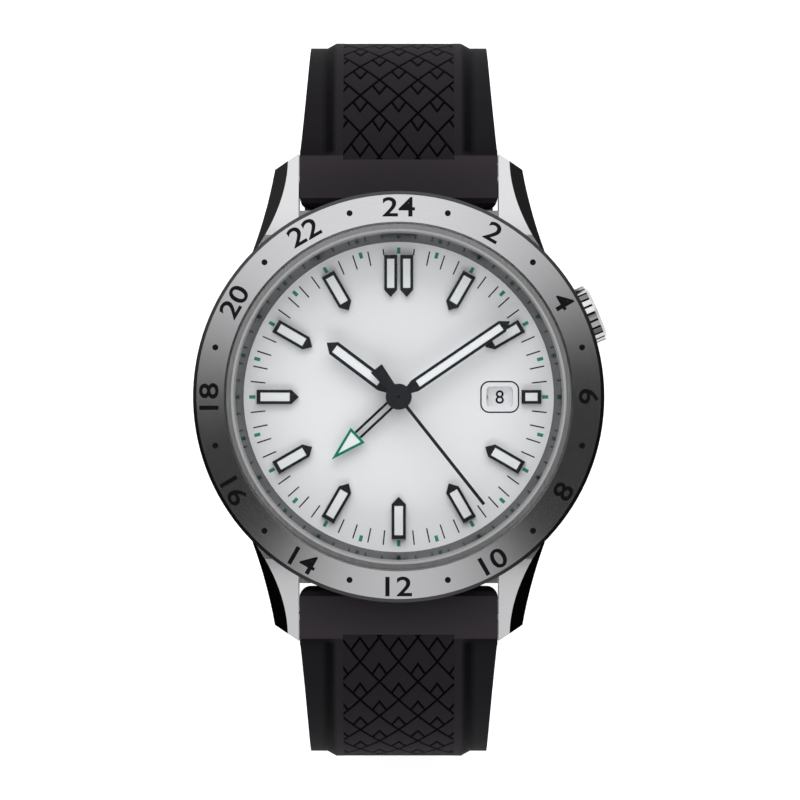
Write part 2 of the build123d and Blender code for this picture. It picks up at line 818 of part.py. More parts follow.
with BuildPart() as third_wheel:
    gear(third_teeth, third_module, third_direction + 180, third_place, third_low, wheel_thickness)
    third_rim = third_module * third_teeth / 2 - spoke_width
    spoke_windows(third_place, hub_radius, third_rim, third_low, wheel_thickness)
    gear(third_pinion_teeth, centre_module, third_direction + 180 + 180 / third_pinion_teeth, third_place,
         centre_low - motion_gap, wheel_thickness + 2 * motion_gap)
    disc(third_place, arbor_radius, arbor_low, arbor_top - arbor_low)
third_wheel.part.label = "third_wheel"
export_step(third_wheel.part, "parts/third_wheel.step")

with BuildPart() as fourth_wheel:
    gear(fourth_teeth, fourth_module, escape_direction, (0, 0), fourth_low, wheel_thickness)
    fourth_rim = fourth_module * fourth_teeth / 2 - spoke_width
    spoke_windows((0, 0), hub_radius, fourth_rim, fourth_low, wheel_thickness)
    gear(fourth_pinion_teeth, third_module, third_direction + 180 / fourth_pinion_teeth, (0, 0),
         fourth_low + wheel_thickness, third_low - fourth_low)
    disc((0, 0), seconds_arbor_radius, arbor_low, seconds_hand_low + seconds_hub_height - arbor_low)
fourth_wheel.part.label = "fourth_wheel"
export_step(fourth_wheel.part, "parts/fourth_wheel.step")

with BuildPart() as escape_wheel:
    gear(escape_teeth, escape_module, escape_direction, escape_place, escape_low, wheel_thickness)
    escape_rim = escape_module * escape_teeth / 2 - escape_rim_width
    spoke_windows(escape_place, hub_radius / 2, escape_rim, escape_low, wheel_thickness)
    gear(escape_pinion_teeth, fourth_module, escape_direction + 180 + 180 / escape_pinion_teeth,
         escape_place, fourth_low - motion_gap, wheel_thickness + 2 * motion_gap)
    disc(escape_place, arbor_radius, arbor_low, arbor_top - arbor_low)
escape_wheel.part.label = "escape_wheel"
export_step(escape_wheel.part, "parts/escape_wheel.step")

# Pallet fork: rocks between the escape wheel and the balance
escape_tip = escape_module * (escape_teeth / 2 + tooth_tip_share)
fork_back = fork_run * fork_pivot_share - escape_tip - fork_stone_gap
fork_front = fork_run * (1 - fork_pivot_share) - roller_radius - arbor_radius

with BuildPart() as pallet_fork:
    fork_plane = Plane(origin=(*fork_place, escape_low), x_dir=(*polar(1, fork_direction), 0),
                       z_dir=(0, 0, 1))
    with BuildSketch(fork_plane):
        with BuildLine():
            Polyline((-fork_back, fork_arm), (-fork_back + fork_width, fork_arm), (0, fork_width),
                     (fork_front, fork_width / 2), (fork_front, -fork_width / 2), (0, -fork_width),
                     (-fork_back + fork_width, -fork_arm), (-fork_back, -fork_arm),
                     (-fork_width, 0), close=True)
        make_face()
    extrude(amount=wheel_thickness)
    disc(fork_place, arbor_radius, escape_low, arbor_top - escape_low)
pallet_fork.part.label = "pallet_fork"
export_step(pallet_fork.part, "parts/pallet_fork.step")

# Balance wheel, and the hairspring under it
hairspring_low = bridge_top + motion_gap

with BuildPart() as balance_wheel:
    with BuildSketch(Plane.XY.offset(fourth_low + motion_gap)):
        with Locations(balance_place):
            Circle(balance_radius)
            Circle(balance_radius - balance_rim_width, mode=Mode.SUBTRACT)
            Rectangle(2 * balance_radius - balance_rim_width, balance_arm_width)
    extrude(amount=balance_rim_height)
    disc(balance_place, arbor_radius, arbor_low, arbor_top - arbor_low)
    disc(balance_place, roller_radius, escape_low - motion_gap, wheel_thickness)
balance_wheel.part.label = "balance_wheel"
export_step(balance_wheel.part, "parts/balance_wheel.step")


def spiral_arcs(offset_out):
    """Half-turn arcs of a spiral, as (start, middle, end) points about the balance."""
    arcs = []
    centre_x = 0
    radius = hairspring_start + offset_out
    side = 1
    for _ in range(hairspring_half_turns):
        start = (balance_place[0] + centre_x + side * radius, balance_place[1])
        middle = (balance_place[0] + centre_x, balance_place[1] + side * radius)
        end = (balance_place[0] + centre_x - side * radius, balance_place[1])
        arcs.append((start, middle, end))
        centre_x += side * hairspring_pitch / 2
        radius += hairspring_pitch / 2
        side = -side
    return arcs


with BuildPart() as hairspring:
    outer_arcs = spiral_arcs(hairspring_width / 2)
    inner_arcs = spiral_arcs(-hairspring_width / 2)
    with BuildSketch(Plane.XY.offset(hairspring_low)):
        with BuildLine():
            for start, middle, end in outer_arcs:
                ThreePointArc(start, middle, end)
            Line(outer_arcs[-1][2], inner_arcs[-1][2])
            for start, middle, end in reversed(inner_arcs):
                ThreePointArc(end, middle, start)
            Line(inner_arcs[0][0], outer_arcs[0][0])
        make_face()
    extrude(amount=hairspring_height)
hairspring.part.label = "hairspring"
export_step(hairspring.part, "parts/hairspring.step")

# Rotor and the fixed bearing that it turns on
with BuildPart() as rotor:
    with BuildSketch(Plane.XY.offset(rotor_low)):
        Circle(rotor_radius)
        Circle(rotor_radius - rotor_rim_width, mode=Mode.SUBTRACT)
        Rectangle(2 * rotor_radius, rotor_radius, align=(Align.CENTER, Align.MIN), mode=Mode.SUBTRACT)
    extrude(amount=rotor_rim_height)
    with BuildSketch(Plane.XY.offset(rotor_top - rotor_web_drop - rotor_web)):
        Circle(rotor_radius - rotor_rim_width / 2)
        Rectangle(2 * rotor_radius, rotor_radius, align=(Align.CENTER, Align.MIN), mode=Mode.SUBTRACT)
        Circle(rotor_hub_radius)
    extrude(amount=rotor_web)
    disc((0, 0), rotor_hub_radius, rotor_low + bearing_head + seat_gap,
         rotor_top - rotor_low - bearing_head - seat_gap)
    disc((0, 0), bearing_radius + running_gap, rotor_low - overrun, rotor_rim_height + 2 * overrun,
         Mode.SUBTRACT)
rotor.part.label = "rotor"
export_step(rotor.part, "parts/rotor.step")

with BuildPart() as rotor_bearing:
    disc((0, 0), bearing_head_radius, rotor_low, bearing_head)
    disc((0, 0), bearing_radius, rotor_low, bridge_low - rotor_low)
rotor_bearing.part.label = "rotor_bearing"
export_step(rotor_bearing.part, "parts/rotor_bearing.step")

# Motion work: cannon pinion, minute wheel, hour wheel, idler and 24-hour wheel
stack_cut = level_step + motion_level + 2 * overrun

with BuildPart() as cannon_pinion:
    gear(cannon_teeth, cannon_module, minute_wheel_direction, (0, 0), motion_a, motion_level)
    disc((0, 0), cannon_pipe, motion_a, minute_hand_low - motion_a)
    disc((0, 0), centre_pipe, motion_a - overrun, minute_hand_low + overrun, Mode.SUBTRACT)
cannon_pinion.part.label = "cannon_pinion"
export_step(cannon_pinion.part, "parts/cannon_pinion.step")

with BuildPart() as minute_wheel:
    gear(minute_wheel_teeth, cannon_module, minute_wheel_direction + 180 + 180 / minute_wheel_teeth,
         minute_wheel_place, motion_a, motion_level)
    gear(minute_pinion_teeth, hour_module, minute_wheel_direction + 180, minute_wheel_place,
         motion_a + motion_level, level_step)
    disc(minute_wheel_place, stud_radius + running_gap, motion_a - overrun, stack_cut, Mode.SUBTRACT)
minute_wheel.part.label = "minute_wheel"
export_step(minute_wheel.part, "parts/minute_wheel.step")

with BuildPart() as hour_wheel:
    gear(hour_teeth, hour_module, minute_wheel_direction + 180 / hour_teeth, (0, 0), motion_b, motion_level)
    gear(hour_day_teeth, day_module, idler_direction, (0, 0), motion_b + motion_level, level_step)
    disc((0, 0), hour_pipe, motion_b, hour_hand_low + hand_thickness - motion_b)
    disc((0, 0), hour_pipe_bore, motion_b - overrun, hour_hand_low + overrun, Mode.SUBTRACT)
hour_wheel.part.label = "hour_wheel"
export_step(hour_wheel.part, "parts/hour_wheel.step")

with BuildPart() as day_idler:
    gear(idler_teeth, day_module, idler_direction + 180 + 180 / idler_teeth, idler_place,
         motion_c, motion_level)
    gear(idler_pinion_teeth, day_module, idler_direction + 180, idler_place,
         motion_c + motion_level, level_step)
    disc(idler_place, stud_radius + running_gap, motion_c - overrun, stack_cut, Mode.SUBTRACT)
day_idler.part.label = "day_idler"
export_step(day_idler.part, "parts/day_idler.step")

with BuildPart() as day_wheel:
    gear(day_teeth, day_module, idler_direction + 180 / day_teeth, (0, 0), motion_d, motion_level)
    disc((0, 0), day_pipe, motion_d, day_hand_low + hand_thickness - motion_d)
    disc((0, 0), day_pipe_bore, motion_d - overrun, day_hand_low + overrun, Mode.SUBTRACT)
day_wheel.part.label = "day_wheel"
export_step(day_wheel.part, "parts/day_wheel.step")

# Date ring: lies on the main plate under the dial, toothed inside
with BuildPart() as date_ring:
    disc((0, 0), date_ring_outer, plate_top + motion_gap, date_ring_thickness)
    date_points = []
    for index in range(date_ring_teeth):
        date_points.append(polar(date_ring_inner + date_tooth_depth, 360 * index / date_ring_teeth))
        date_points.append(polar(date_ring_inner, 360 * (index + 0.5) / date_ring_teeth))
    with BuildSketch(Plane.XY.offset(plate_top + motion_gap)):
        with BuildLine():
            Polyline(*date_points, close=True)
        make_face()
    extrude(amount=date_ring_thickness, mode=Mode.SUBTRACT)
date_ring.part.label = "date_ring"
export_step(date_ring.part, "parts/date_ring.step")

# Dial: a disc with a centre hole, a date window and two feet
with BuildPart() as dial:
    disc((0, 0), dial_radius, dial_low, dial_thickness)
    disc((0, 0), day_pipe + dial_hole_gap, dial_low, dial_thickness, Mode.SUBTRACT)
    with BuildSketch(Plane.XY.offset(dial_low)):
        with Locations((date_window_radius, 0)):
            RectangleRounded(date_window_width, date_window_height, date_window_corner)
    extrude(amount=dial_thickness, mode=Mode.SUBTRACT)
    for direction in dial_foot_directions:
        disc(polar(dial_foot_circle, direction), dial_foot_radius, plate_low, dial_low - plate_low)
dial.part.label = "dial"
export_step(dial.part, "parts/dial.step")


def baton_points(row):
    """Outline of a marker on the 12 o'clock line, pointed at its inner end."""
    _, shift, inner, outer, width, point = row
    left = shift - width / 2
    right = shift + width / 2
    if point > 0:
        return [(left, outer), (left, inner + point), (shift, inner), (right, inner + point), (right, outer)]
    return [(left, outer), (left, inner), (right, inner), (right, outer)]


def marker_rows():
    """Every marker as (clock angle, sideways offset, inner, outer, width, point)."""
    rows = [(0, side * twelve_offset, marker_inner, marker_outer, twelve_width, marker_point)
            for side in (1, -1)]
    for hour in range(1, 12):
        if hour == 3:
            rows.append((90, 0, three_inner, three_outer, three_width, 0))
        else:
            rows.append((30 * hour, 0, marker_inner, marker_outer, marker_width, marker_point))
    return rows


def marker_lume_size(row):
    """Inner end, outer end and width of the lume field of one marker."""
    _, _, inner, outer, width, point = row
    lume_inner = inner + (marker_lume_start if point > 0 else marker_end_frame)
    return lume_inner, outer - marker_end_frame, width - 2 * marker_frame


lume_low = dial_top + marker_height - marker_lume_depth

# Hour markers: applied black frames, each with a shallow field for lume
with BuildPart() as hour_markers:
    for row in marker_rows():
        with BuildSketch(hand_plane(dial_top, row[0])):
            with BuildLine():
                Polyline(*baton_points(row), close=True)
            make_face()
        extrude(amount=marker_height)
        lume_inner, lume_outer, lume_width = marker_lume_size(row)
        with BuildSketch(hand_plane(lume_low, row[0])):
            with Locations((row[1], (lume_inner + lume_outer) / 2)):
                Rectangle(lume_width, lume_outer - lume_inner)
        extrude(amount=marker_lume_depth, mode=Mode.SUBTRACT)
hour_markers.part.label = "hour_markers"
export_step(hour_markers.part, "parts/hour_markers.step")

with BuildPart() as marker_lume:
    for row in marker_rows():
        lume_inner, lume_outer, lume_width = marker_lume_size(row)
        with BuildSketch(hand_plane(lume_low, row[0])):
            with Locations((row[1], (lume_inner + lume_outer) / 2)):
                Rectangle(lume_width, lume_outer - lume_inner)
        extrude(amount=marker_lume_depth - lume_below_frame)
marker_lume.part.label = "marker_lume"
export_step(marker_lume.part, "parts/marker_lume.step")


def lume_hand(level, angle, length, width, lume, bore):
    """Adds a pointed hand with a hub, a necked blade and a slot for lume."""
    lume_inner, lume_outer, lume_width = lume
    half = width / 2
    neck = hand_neck_width / 2
    with BuildSketch(hand_plane(level, angle)) as profile:
        with BuildLine():
            Polyline((-neck, 0), (-neck, hub_radius), (-half, lume_inner - neck),
                     (-half, length - hand_tip_length), (0, length),
                     (half, length - hand_tip_length), (half, lume_inner - neck),
                     (neck, hub_radius), (neck, 0), close=True)
        make_face()
        Circle(hub_radius)
        Circle(bore, mode=Mode.SUBTRACT)
        with Locations((0, (lume_inner + lume_outer) / 2)):
            Rectangle(lume_width, lume_outer - lume_inner, mode=Mode.SUBTRACT)
    extrude(profile.sketch, amount=hand_thickness)


def lume_strip(level, angle, lume):
    """Adds the lume that fills the slot of a hand."""
    lume_inner, lume_outer, lume_width = lume
    with BuildSketch(hand_plane(level, angle)) as profile:
        with Locations((0, (lume_inner + lume_outer) / 2)):
            Rectangle(lume_width, lume_outer - lume_inner)
    extrude(profile.sketch, amount=hand_thickness - lume_below_frame)


hour_lume = (hour_lume_inner, hour_lume_outer, hour_lume_width)
minute_lume = (minute_lume_inner, minute_lume_outer, minute_lume_width)

# Hour hand and its lume
with BuildPart() as hour_hand:
    lume_hand(hour_hand_low, hour_hand_angle, hour_hand_length, hour_hand_width, hour_lume, hour_pipe)
hour_hand.part.label = "hour_hand"
export_step(hour_hand.part, "parts/hour_hand.step")

with BuildPart() as hour_hand_lume:
    lume_strip(hour_hand_low, hour_hand_angle, hour_lume)
hour_hand_lume.part.label = "hour_hand_lume"
export_step(hour_hand_lume.part, "parts/hour_hand_lume.step")

# Minute hand and its lume
with BuildPart() as minute_hand:
    lume_hand(minute_hand_low, minute_hand_angle, minute_hand_length, minute_hand_width, minute_lume,
              centre_pipe)
minute_hand.part.label = "minute_hand"
export_step(minute_hand.part, "parts/minute_hand.step")

with BuildPart() as minute_hand_lume:
    lume_strip(minute_hand_low, minute_hand_angle, minute_lume)
minute_hand_lume.part.label = "minute_hand_lume"
export_step(minute_hand_lume.part, "parts/minute_hand_lume.step")

# 24-hour hand: two rails that carry an outlined triangle
triangle_half = day_triangle_width / 2
triangle_height = day_hand_length - day_triangle_base
triangle_slope = (triangle_half ** 2 + triangle_height ** 2) ** 0.5
lume_base = day_triangle_base + day_triangle_frame
lume_tip = day_hand_length - day_triangle_frame * triangle_slope / triangle_half
lume_half = triangle_half * (lume_tip - lume_base) / triangle_height
day_lume_points = [(-lume_half, lume_base), (0, lume_tip), (lume_half, lume_base)]

with BuildPart() as day_hand:
    with BuildSketch(hand_plane(day_hand_low, day_hand_angle)):
        with BuildLine():
            Polyline((-triangle_half, day_triangle_base), (0, day_hand_length),
                     (triangle_half, day_triangle_base), close=True)
        make_face()
        with Locations((0, day_triangle_base / 2)):
            Rectangle(day_stem_width, day_triangle_base)
            Rectangle(day_stem_width - 2 * day_rail_width, day_triangle_base, mode=Mode.SUBTRACT)
        with BuildLine():
            Polyline(*day_lume_points, close=True)
        make_face(mode=Mode.SUBTRACT)
        Circle(hub_radius)
        Circle(day_pipe, mode=Mode.SUBTRACT)
    extrude(amount=hand_thickness)
day_hand.part.label = "day_hand"
export_step(day_hand.part, "parts/day_hand.step")

with BuildPart() as day_hand_lume:
    with BuildSketch(hand_plane(day_hand_low, day_hand_angle)):
        with BuildLine():
            Polyline(*day_lume_points, close=True)
        make_face()
    extrude(amount=hand_thickness - lume_below_frame)
day_hand_lume.part.label = "day_hand_lume"
export_step(day_hand_lume.part, "parts/day_hand_lume.step")

# Seconds hand: needle, hub disc and flared tail
with BuildPart() as seconds_hand:
    needle_half = seconds_hand_width / 2
    tail_half = seconds_tail_width / 2
    tail_neck = seconds_tail_neck / 2
    with BuildSketch(hand_plane(seconds_hand_low, seconds_hand_angle)):
        with BuildLine():
            Polyline((-needle_half, 0), (-needle_half, seconds_hand_length),
                     (needle_half, seconds_hand_length), (needle_half, 0),
                     (tail_neck, 0), (tail_half, -seconds_tail_length),
                     (-tail_half, -seconds_tail_length), (-tail_neck, 0), close=True)
        make_face()
        Circle(seconds_hub_radius)
        Circle(seconds_arbor_radius, mode=Mode.SUBTRACT)
    extrude(amount=hand_thickness)
    with BuildSketch(hand_plane(seconds_hand_low + hand_thickness, seconds_hand_angle)):
        Circle(seconds_hub_radius)
        Circle(seconds_arbor_radius, mode=Mode.SUBTRACT)
    extrude(amount=seconds_hub_height - hand_thickness)
seconds_hand.part.label = "seconds_hand"
export_step(seconds_hand.part, "parts/seconds_hand.step")

# Crown: fluted cap that slides and turns on its tube
crown_bore = tube_radius + crown_gasket_width
crown_gasket_start = tube_end - crown_gasket_length
crown_flute_width = 2 * crown_radius * crown_flute_share * sin(radians(180 / crown_flutes))

with BuildPart() as crown:
    crown_disc(crown_radius, crown_inner_reach, crown_outer_reach - crown_inner_reach - crown_end_dome)
    with BuildSketch(crown_plane(crown_inner_reach)):
        with PolarLocations(crown_radius, crown_flutes):
            Rectangle(2 * crown_flute_depth, crown_flute_width)
    extrude(amount=crown_outer_reach - crown_inner_reach, mode=Mode.SUBTRACT)
    with BuildSketch(crown_plane(crown_outer_reach - crown_end_dome)):
        Circle(crown_radius - crown_flute_depth)
    extrude(amount=crown_end_dome, taper=crown_end_slope)
    crown_disc(crown_bore, crown_inner_reach, crown_cavity_end - crown_inner_reach, Mode.SUBTRACT)
    crown_disc(stem_radius, crown_inner_reach, stem_end - crown_inner_reach, Mode.SUBTRACT)
crown.part.label = "crown"
export_step(crown.part, "parts/crown.step")

with BuildPart() as crown_gasket:
    crown_disc(crown_bore, crown_gasket_start, crown_gasket_length)
    crown_disc(tube_radius + seat_gap, crown_gasket_start, crown_gasket_length, Mode.SUBTRACT)
crown_gasket.part.label = "crown_gasket"
export_step(crown_gasket.part, "parts/crown_gasket.step")

with BuildPart() as crown_tube:
    crown_disc(tube_radius, neck_inner, tube_end - neck_inner)
    crown_disc(tube_bore, neck_inner, tube_end - neck_inner, Mode.SUBTRACT)
crown_tube.part.label = "crown_tube"
export_step(crown_tube.part, "parts/crown_tube.step")

with BuildPart() as winding_stem:
    crown_disc(stem_radius, stem_inner_reach, stem_end - stem_inner_reach)
winding_stem.part.label = "winding_stem"
export_step(winding_stem.part, "parts/winding_stem.step")

with BuildPart() as winding_pinion:
    with BuildSketch(crown_plane(winding_pinion_inner)):
        RegularPolygon(winding_pinion_radius, winding_pinion_sides)
        Circle(stem_radius + running_gap, mode=Mode.SUBTRACT)
    extrude(amount=winding_pinion_length)
winding_pinion.part.label = "winding_pinion"
export_step(winding_pinion.part, "parts/winding_pinion.step")

# Strap: two rubber halves, each hung on a spring bar between its lugs
turn_height = bar_height + nose_radius - rib_radius
wing_radius = rib_radius - rib_height
inner_radius = wing_radius - strap_thickness
leg_reach = turn_reach + wing_radius
table = bar_height - loop_drop
keeper_drop = keeper_wall + strap_end_thickness + keeper_play
half_root = lug_gap / 2 - nose_side_gap
half_end = strap_end_width / 2
diagonal_share = cos(radians(45))


def on_arc(side, radius, angle):
    """Point of the upper turn of a strap half, in the plane of its side view."""
    return (side * (turn_reach + radius * cos(radians(angle))), turn_height + radius * sin(radians(angle)))


def turn_arc(side, radius, first, last):
    """Arc of the upper turn from one angle to another."""
    return ThreePointArc(on_arc(side, radius, first), on_arc(side, radius, (first + last) / 2),
                         on_arc(side, radius, last))


def strap_band(side, floor, end_reach):
    """Adds the plain band: upper turn, leg, lower turn and flat end."""
    leg_foot = floor + foot_turn_radius
    top = floor + strap_end_thickness
    leg = side * leg_reach
    turn_in = side * (leg_reach - foot_turn_radius)
    slant = foot_turn_radius * diagonal_share
    inner_turn = foot_turn_radius - strap_end_thickness
    inner_slant = inner_turn * diagonal_share
    with BuildSketch(Plane.YZ) as profile:
        with BuildLine():
            turn_arc(side, wing_radius, 90, 0)
            Line((leg, turn_height), (leg, leg_foot))
            ThreePointArc((leg, leg_foot), (turn_in + side * slant, leg_foot - slant), (turn_in, floor))
            Polyline((turn_in, floor), (side * end_reach, floor), (side * end_reach, top), (turn_in, top))
            ThreePointArc((turn_in, top), (turn_in + side * inner_slant, leg_foot - inner_slant),
                          (turn_in + side * inner_turn, leg_foot))
            Line((turn_in + side * inner_turn, leg_foot), on_arc(side, inner_radius, 0))
            turn_arc(side, inner_radius, 0, 90)
            Line(on_arc(side, inner_radius, 90), on_arc(side, wing_radius, 90))
        make_face()
    extrude(profile.sketch, amount=half_root, both=True)


def taper_cuts(side, floor):
    """Cuts the band's sides so that it narrows from the lugs to its end."""
    far = side * (turn_reach + rib_radius)
    beyond = far + side * overrun
    for edge in (1, -1):
        outside = edge * (half_root + overrun)
        with BuildSketch(Plane.XY.offset(turn_height)) as profile:
            with BuildLine():
                ThreePointArc((edge * half_root, side * block_reach),
                              (edge * strap_mid_half, side * strap_mid_reach), (edge * half_end, far))
                Polyline((edge * half_end, far), (edge * half_end, beyond), (outside, beyond),
                         (outside, side * block_reach), (edge * half_root, side * block_reach))
            make_face()
        extrude(profile.sketch, amount=rib_radius + overrun, mode=Mode.SUBTRACT)
        with BuildSketch(Plane.XY.offset(floor - overrun)) as profile:
            with Locations((edge * half_end, 0)):
                Rectangle(half_root, 2 * (leg_reach + overrun),
                          align=(Align.MIN if edge > 0 else Align.MAX, Align.CENTER))
        extrude(profile.sketch, amount=turn_height - floor + overrun, mode=Mode.SUBTRACT)


def fitted_end(side):
    """Adds the smooth full-width end about the spring bar, with its stop heel."""
    block_angle = degrees(acos(block_length / rib_radius))
    nose_low = bar_height - nose_radius
    nose_top = bar_height + nose_radius
    nose_front = bar_reach - nose_top_run
    with BuildSketch(Plane.YZ) as profile:
        with Locations((side * bar_reach, bar_height)):
            Circle(nose_radius)
        with BuildLine():
            Line((side * bar_reach, nose_top), on_arc(side, rib_radius, 90))
            turn_arc(side, rib_radius, 90, block_angle)
            Line(on_arc(side, rib_radius, block_angle), on_arc(side, inner_radius, block_angle))
            turn_arc(side, inner_radius, block_angle, 90)
            Polyline(on_arc(side, inner_radius, 90), (side * bar_reach, turn_height + inner_radius),
                     (side * bar_reach, nose_top))
        make_face()
        with BuildLine():
            Polyline((side * bar_reach, bar_height), (side * nose_front, bar_height),
                     (side * nose_front, nose_top - nose_corner),
                     (side * (nose_front + nose_corner), nose_top),
                     (side * bar_reach, nose_top), close=True)
        make_face()
    extrude(profile.sketch, amount=half_root, both=True)
    with BuildSketch(Plane.XY.offset(nose_low)) as profile:
        for edge in (1, -1):
            with Locations((edge * half_root, side * (bar_reach - nose_radius))):
                Rectangle(2 * nose_round, 2 * nose_round)
            with Locations((edge * (half_root - nose_round), side * (bar_reach - nose_radius + nose_round))):
                Circle(nose_round, mode=Mode.SUBTRACT)
    extrude(profile.sketch, amount=nose_top - nose_low, mode=Mode.SUBTRACT)
    with BuildSketch(Plane.YZ) as profile:
        with BuildLine():
            Polyline((side * (lug_wall_reach + seat_gap), nose_low), (side * bar_reach, nose_low),
                     (side * bar_reach, nose_low + heel_height),
                     (side * (lug_wall_reach + seat_gap), nose_low + heel_height), close=True)
        make_face()
    extrude(profile.sketch, amount=heel_half, both=True)
    with BuildSketch(Plane.YZ) as profile:
        with Locations((side * bar_reach, bar_height)):
            Circle(bar_radius + bar_bore_gap)
    extrude(profile.sketch, amount=half_root + overrun, both=True, mode=Mode.SUBTRACT)


def rib_sweep(side, section, top_angle, drop, mode=Mode.ADD):
    """Sweeps a section of (half width, radius) points over the upper turn and down the leg."""
    with BuildSketch(Plane.XY.offset(turn_height)) as profile:
        with BuildLine():
            Polyline(*[(half, side * (turn_reach + radius)) for half, radius in section], close=True)
        make_face()
    turn_axis = Axis((0, side * turn_reach, turn_height), (side, 0, 0))
    revolve(profile.sketch, axis=turn_axis, revolution_arc=top_angle, mode=mode)
    extrude(profile.sketch, amount=-drop, mode=mode)


def raised_rib(side):
    """Adds the raised centre rib with sloping flanks, and sinks the pattern field into it."""
    block_angle = degrees(acos(block_length / rib_radius))
    field_angle = degrees(acos((block_length - field_overlap) / rib_radius))
    core_radius = wing_radius - strap_end_thickness / 2
    field_radius = rib_radius - field_depth
    rib_half = rib_width / 2
    foot_half = rib_half + rib_slope
    field_half = field_width / 2
    rib_sweep(side, [(-foot_half, core_radius), (-foot_half, wing_radius), (-rib_half, rib_radius),
                     (rib_half, rib_radius), (foot_half, wing_radius), (foot_half, core_radius)],
              block_angle, rib_end_drop)
    with BuildSketch(Plane.YZ) as profile:
        with BuildLine():
            Polyline((side * leg_reach, turn_height - rib_end_drop),
                     (side * (leg_reach + overrun), turn_height - rib_end_drop + overrun),
                     (side * (leg_reach + overrun), turn_height - rib_end_drop), close=True)
        make_face()
    extrude(profile.sketch, amount=foot_half, both=True, mode=Mode.SUBTRACT)
    rib_sweep(side, [(-field_half, field_radius), (-field_half, rib_radius + overrun),
                     (field_half, rib_radius + overrun), (field_half, field_radius)],
              field_angle, rib_end_drop - field_end, Mode.SUBTRACT)


# Tail half at 6 o'clock: lies flat on the table, with a round tip and holes
with BuildPart() as tail_strap:
    strap_band(-1, table, -tail_end)
    taper_cuts(-1, table)
    fillet(tail_strap.edges().filter_by(Axis.Z).sort_by(Axis.Y)[-2:], tail_tip_radius)
    fitted_end(-1)
    raised_rib(-1)
    for index in range(hole_count):
        disc((0, tail_end - hole_first - index * hole_pitch), hole_radius, table, strap_end_thickness,
             Mode.SUBTRACT)
tail_strap.part.label = "tail_strap"
export_step(tail_strap.part, "parts/tail_strap.step")

# Buckle half at 12 o'clock: stands on its fixed keeper and ends in a slotted nose about the buckle bar
buckle_floor = table + keeper_drop
buckle_bar_height = buckle_floor + buckle_nose_radius

with BuildPart() as buckle_strap:
    strap_band(1, buckle_floor, buckle_bar_reach)
    taper_cuts(1, buckle_floor)
    fitted_end(1)
    raised_rib(1)
    with BuildSketch(Plane.YZ):
        with Locations((buckle_bar_reach, buckle_bar_height)):
            Circle(buckle_nose_radius)
    extrude(amount=half_end, both=True)
    with BuildSketch(Plane.YZ):
        with Locations((buckle_bar_reach, buckle_bar_height)):
            Circle(bar_radius + bar_bore_gap)
    extrude(amount=half_end + overrun, both=True, mode=Mode.SUBTRACT)
    with BuildSketch(Plane.XY.offset(buckle_floor - overrun)):
        with Locations((0, buckle_bar_reach)):
            Rectangle(tongue_slot, 2 * (tongue_eye_radius + keeper_play))
    extrude(amount=2 * buckle_nose_radius + 2 * overrun, mode=Mode.SUBTRACT)
buckle_strap.part.label = "buckle_strap"
export_step(buckle_strap.part, "parts/buckle_strap.step")

# Spring bars: one behind each pair of lugs and one in the buckle
tip_half = lug_gap / 2 + bar_tip_length

for side, bar_name in ((1, "spring_bar_12"), (-1, "spring_bar_6")):
    with BuildPart() as spring_bar:
        with BuildSketch(Plane.YZ):
            with Locations((side * bar_reach, bar_height)):
                Circle(bar_radius)
        extrude(amount=half_root, both=True)
        with BuildSketch(Plane.YZ):
            with Locations((side * bar_reach, bar_height)):
                Circle(bar_tip_radius)
        extrude(amount=tip_half, both=True)
    spring_bar.part.label = bar_name
    export_step(spring_bar.part, "parts/" + bar_name + ".step")

# Buckle: frame and tongue, which both turn on the buckle's spring bar
cheek_inner = half_end + frame_gap
frame_half = cheek_inner + frame_cheek
frame_bow_reach = buckle_bar_reach - frame_window
frame_end_reach = frame_bow_reach - frame_bow
frame_low = buckle_bar_height - frame_thickness / 2

with BuildPart() as buckle_spring_bar:
    with BuildSketch(Plane.YZ):
        with Locations((buckle_bar_reach, buckle_bar_height)):
            Circle(bar_radius)
    extrude(amount=half_end, both=True)
    with BuildSketch(Plane.YZ):
        with Locations((buckle_bar_reach, buckle_bar_height)):
            Circle(bar_tip_radius)
    extrude(amount=cheek_inner + bar_tip_length, both=True)
buckle_spring_bar.part.label = "buckle_spring_bar"
export_step(buckle_spring_bar.part, "parts/buckle_spring_bar.step")

with BuildPart() as buckle_frame:
    with BuildSketch(Plane.XY.offset(frame_low)):
        with BuildLine():
            Polyline((frame_half, buckle_bar_reach + frame_head), (frame_half, frame_end_reach),
                     (-frame_half, frame_end_reach), (-frame_half, buckle_bar_reach + frame_head),
                     (-cheek_inner, buckle_bar_reach + frame_head), (-cheek_inner, frame_bow_reach),
                     (cheek_inner, frame_bow_reach), (cheek_inner, buckle_bar_reach + frame_head),
                     close=True)
        make_face()
    extrude(amount=frame_thickness)
    fillet(buckle_frame.edges().filter_by(Axis.Z).group_by(Axis.Y)[0], frame_corner)
    with BuildSketch(Plane.XY.offset(frame_low)):
        with Locations((0, frame_end_reach)):
            Rectangle(tongue_width + 2 * keeper_side_gap, 2 * frame_bow + overrun)
    extrude(amount=frame_notch, mode=Mode.SUBTRACT)
    with BuildSketch(Plane.YZ):
        with Locations((buckle_bar_reach, buckle_bar_height)):
            Circle(bar_tip_radius + seat_gap)
    extrude(amount=cheek_inner + bar_tip_length + seat_gap, both=True, mode=Mode.SUBTRACT)
buckle_frame.part.label = "buckle_frame"
export_step(buckle_frame.part, "parts/buckle_frame.step")

tongue_top = frame_low + frame_notch - seat_gap

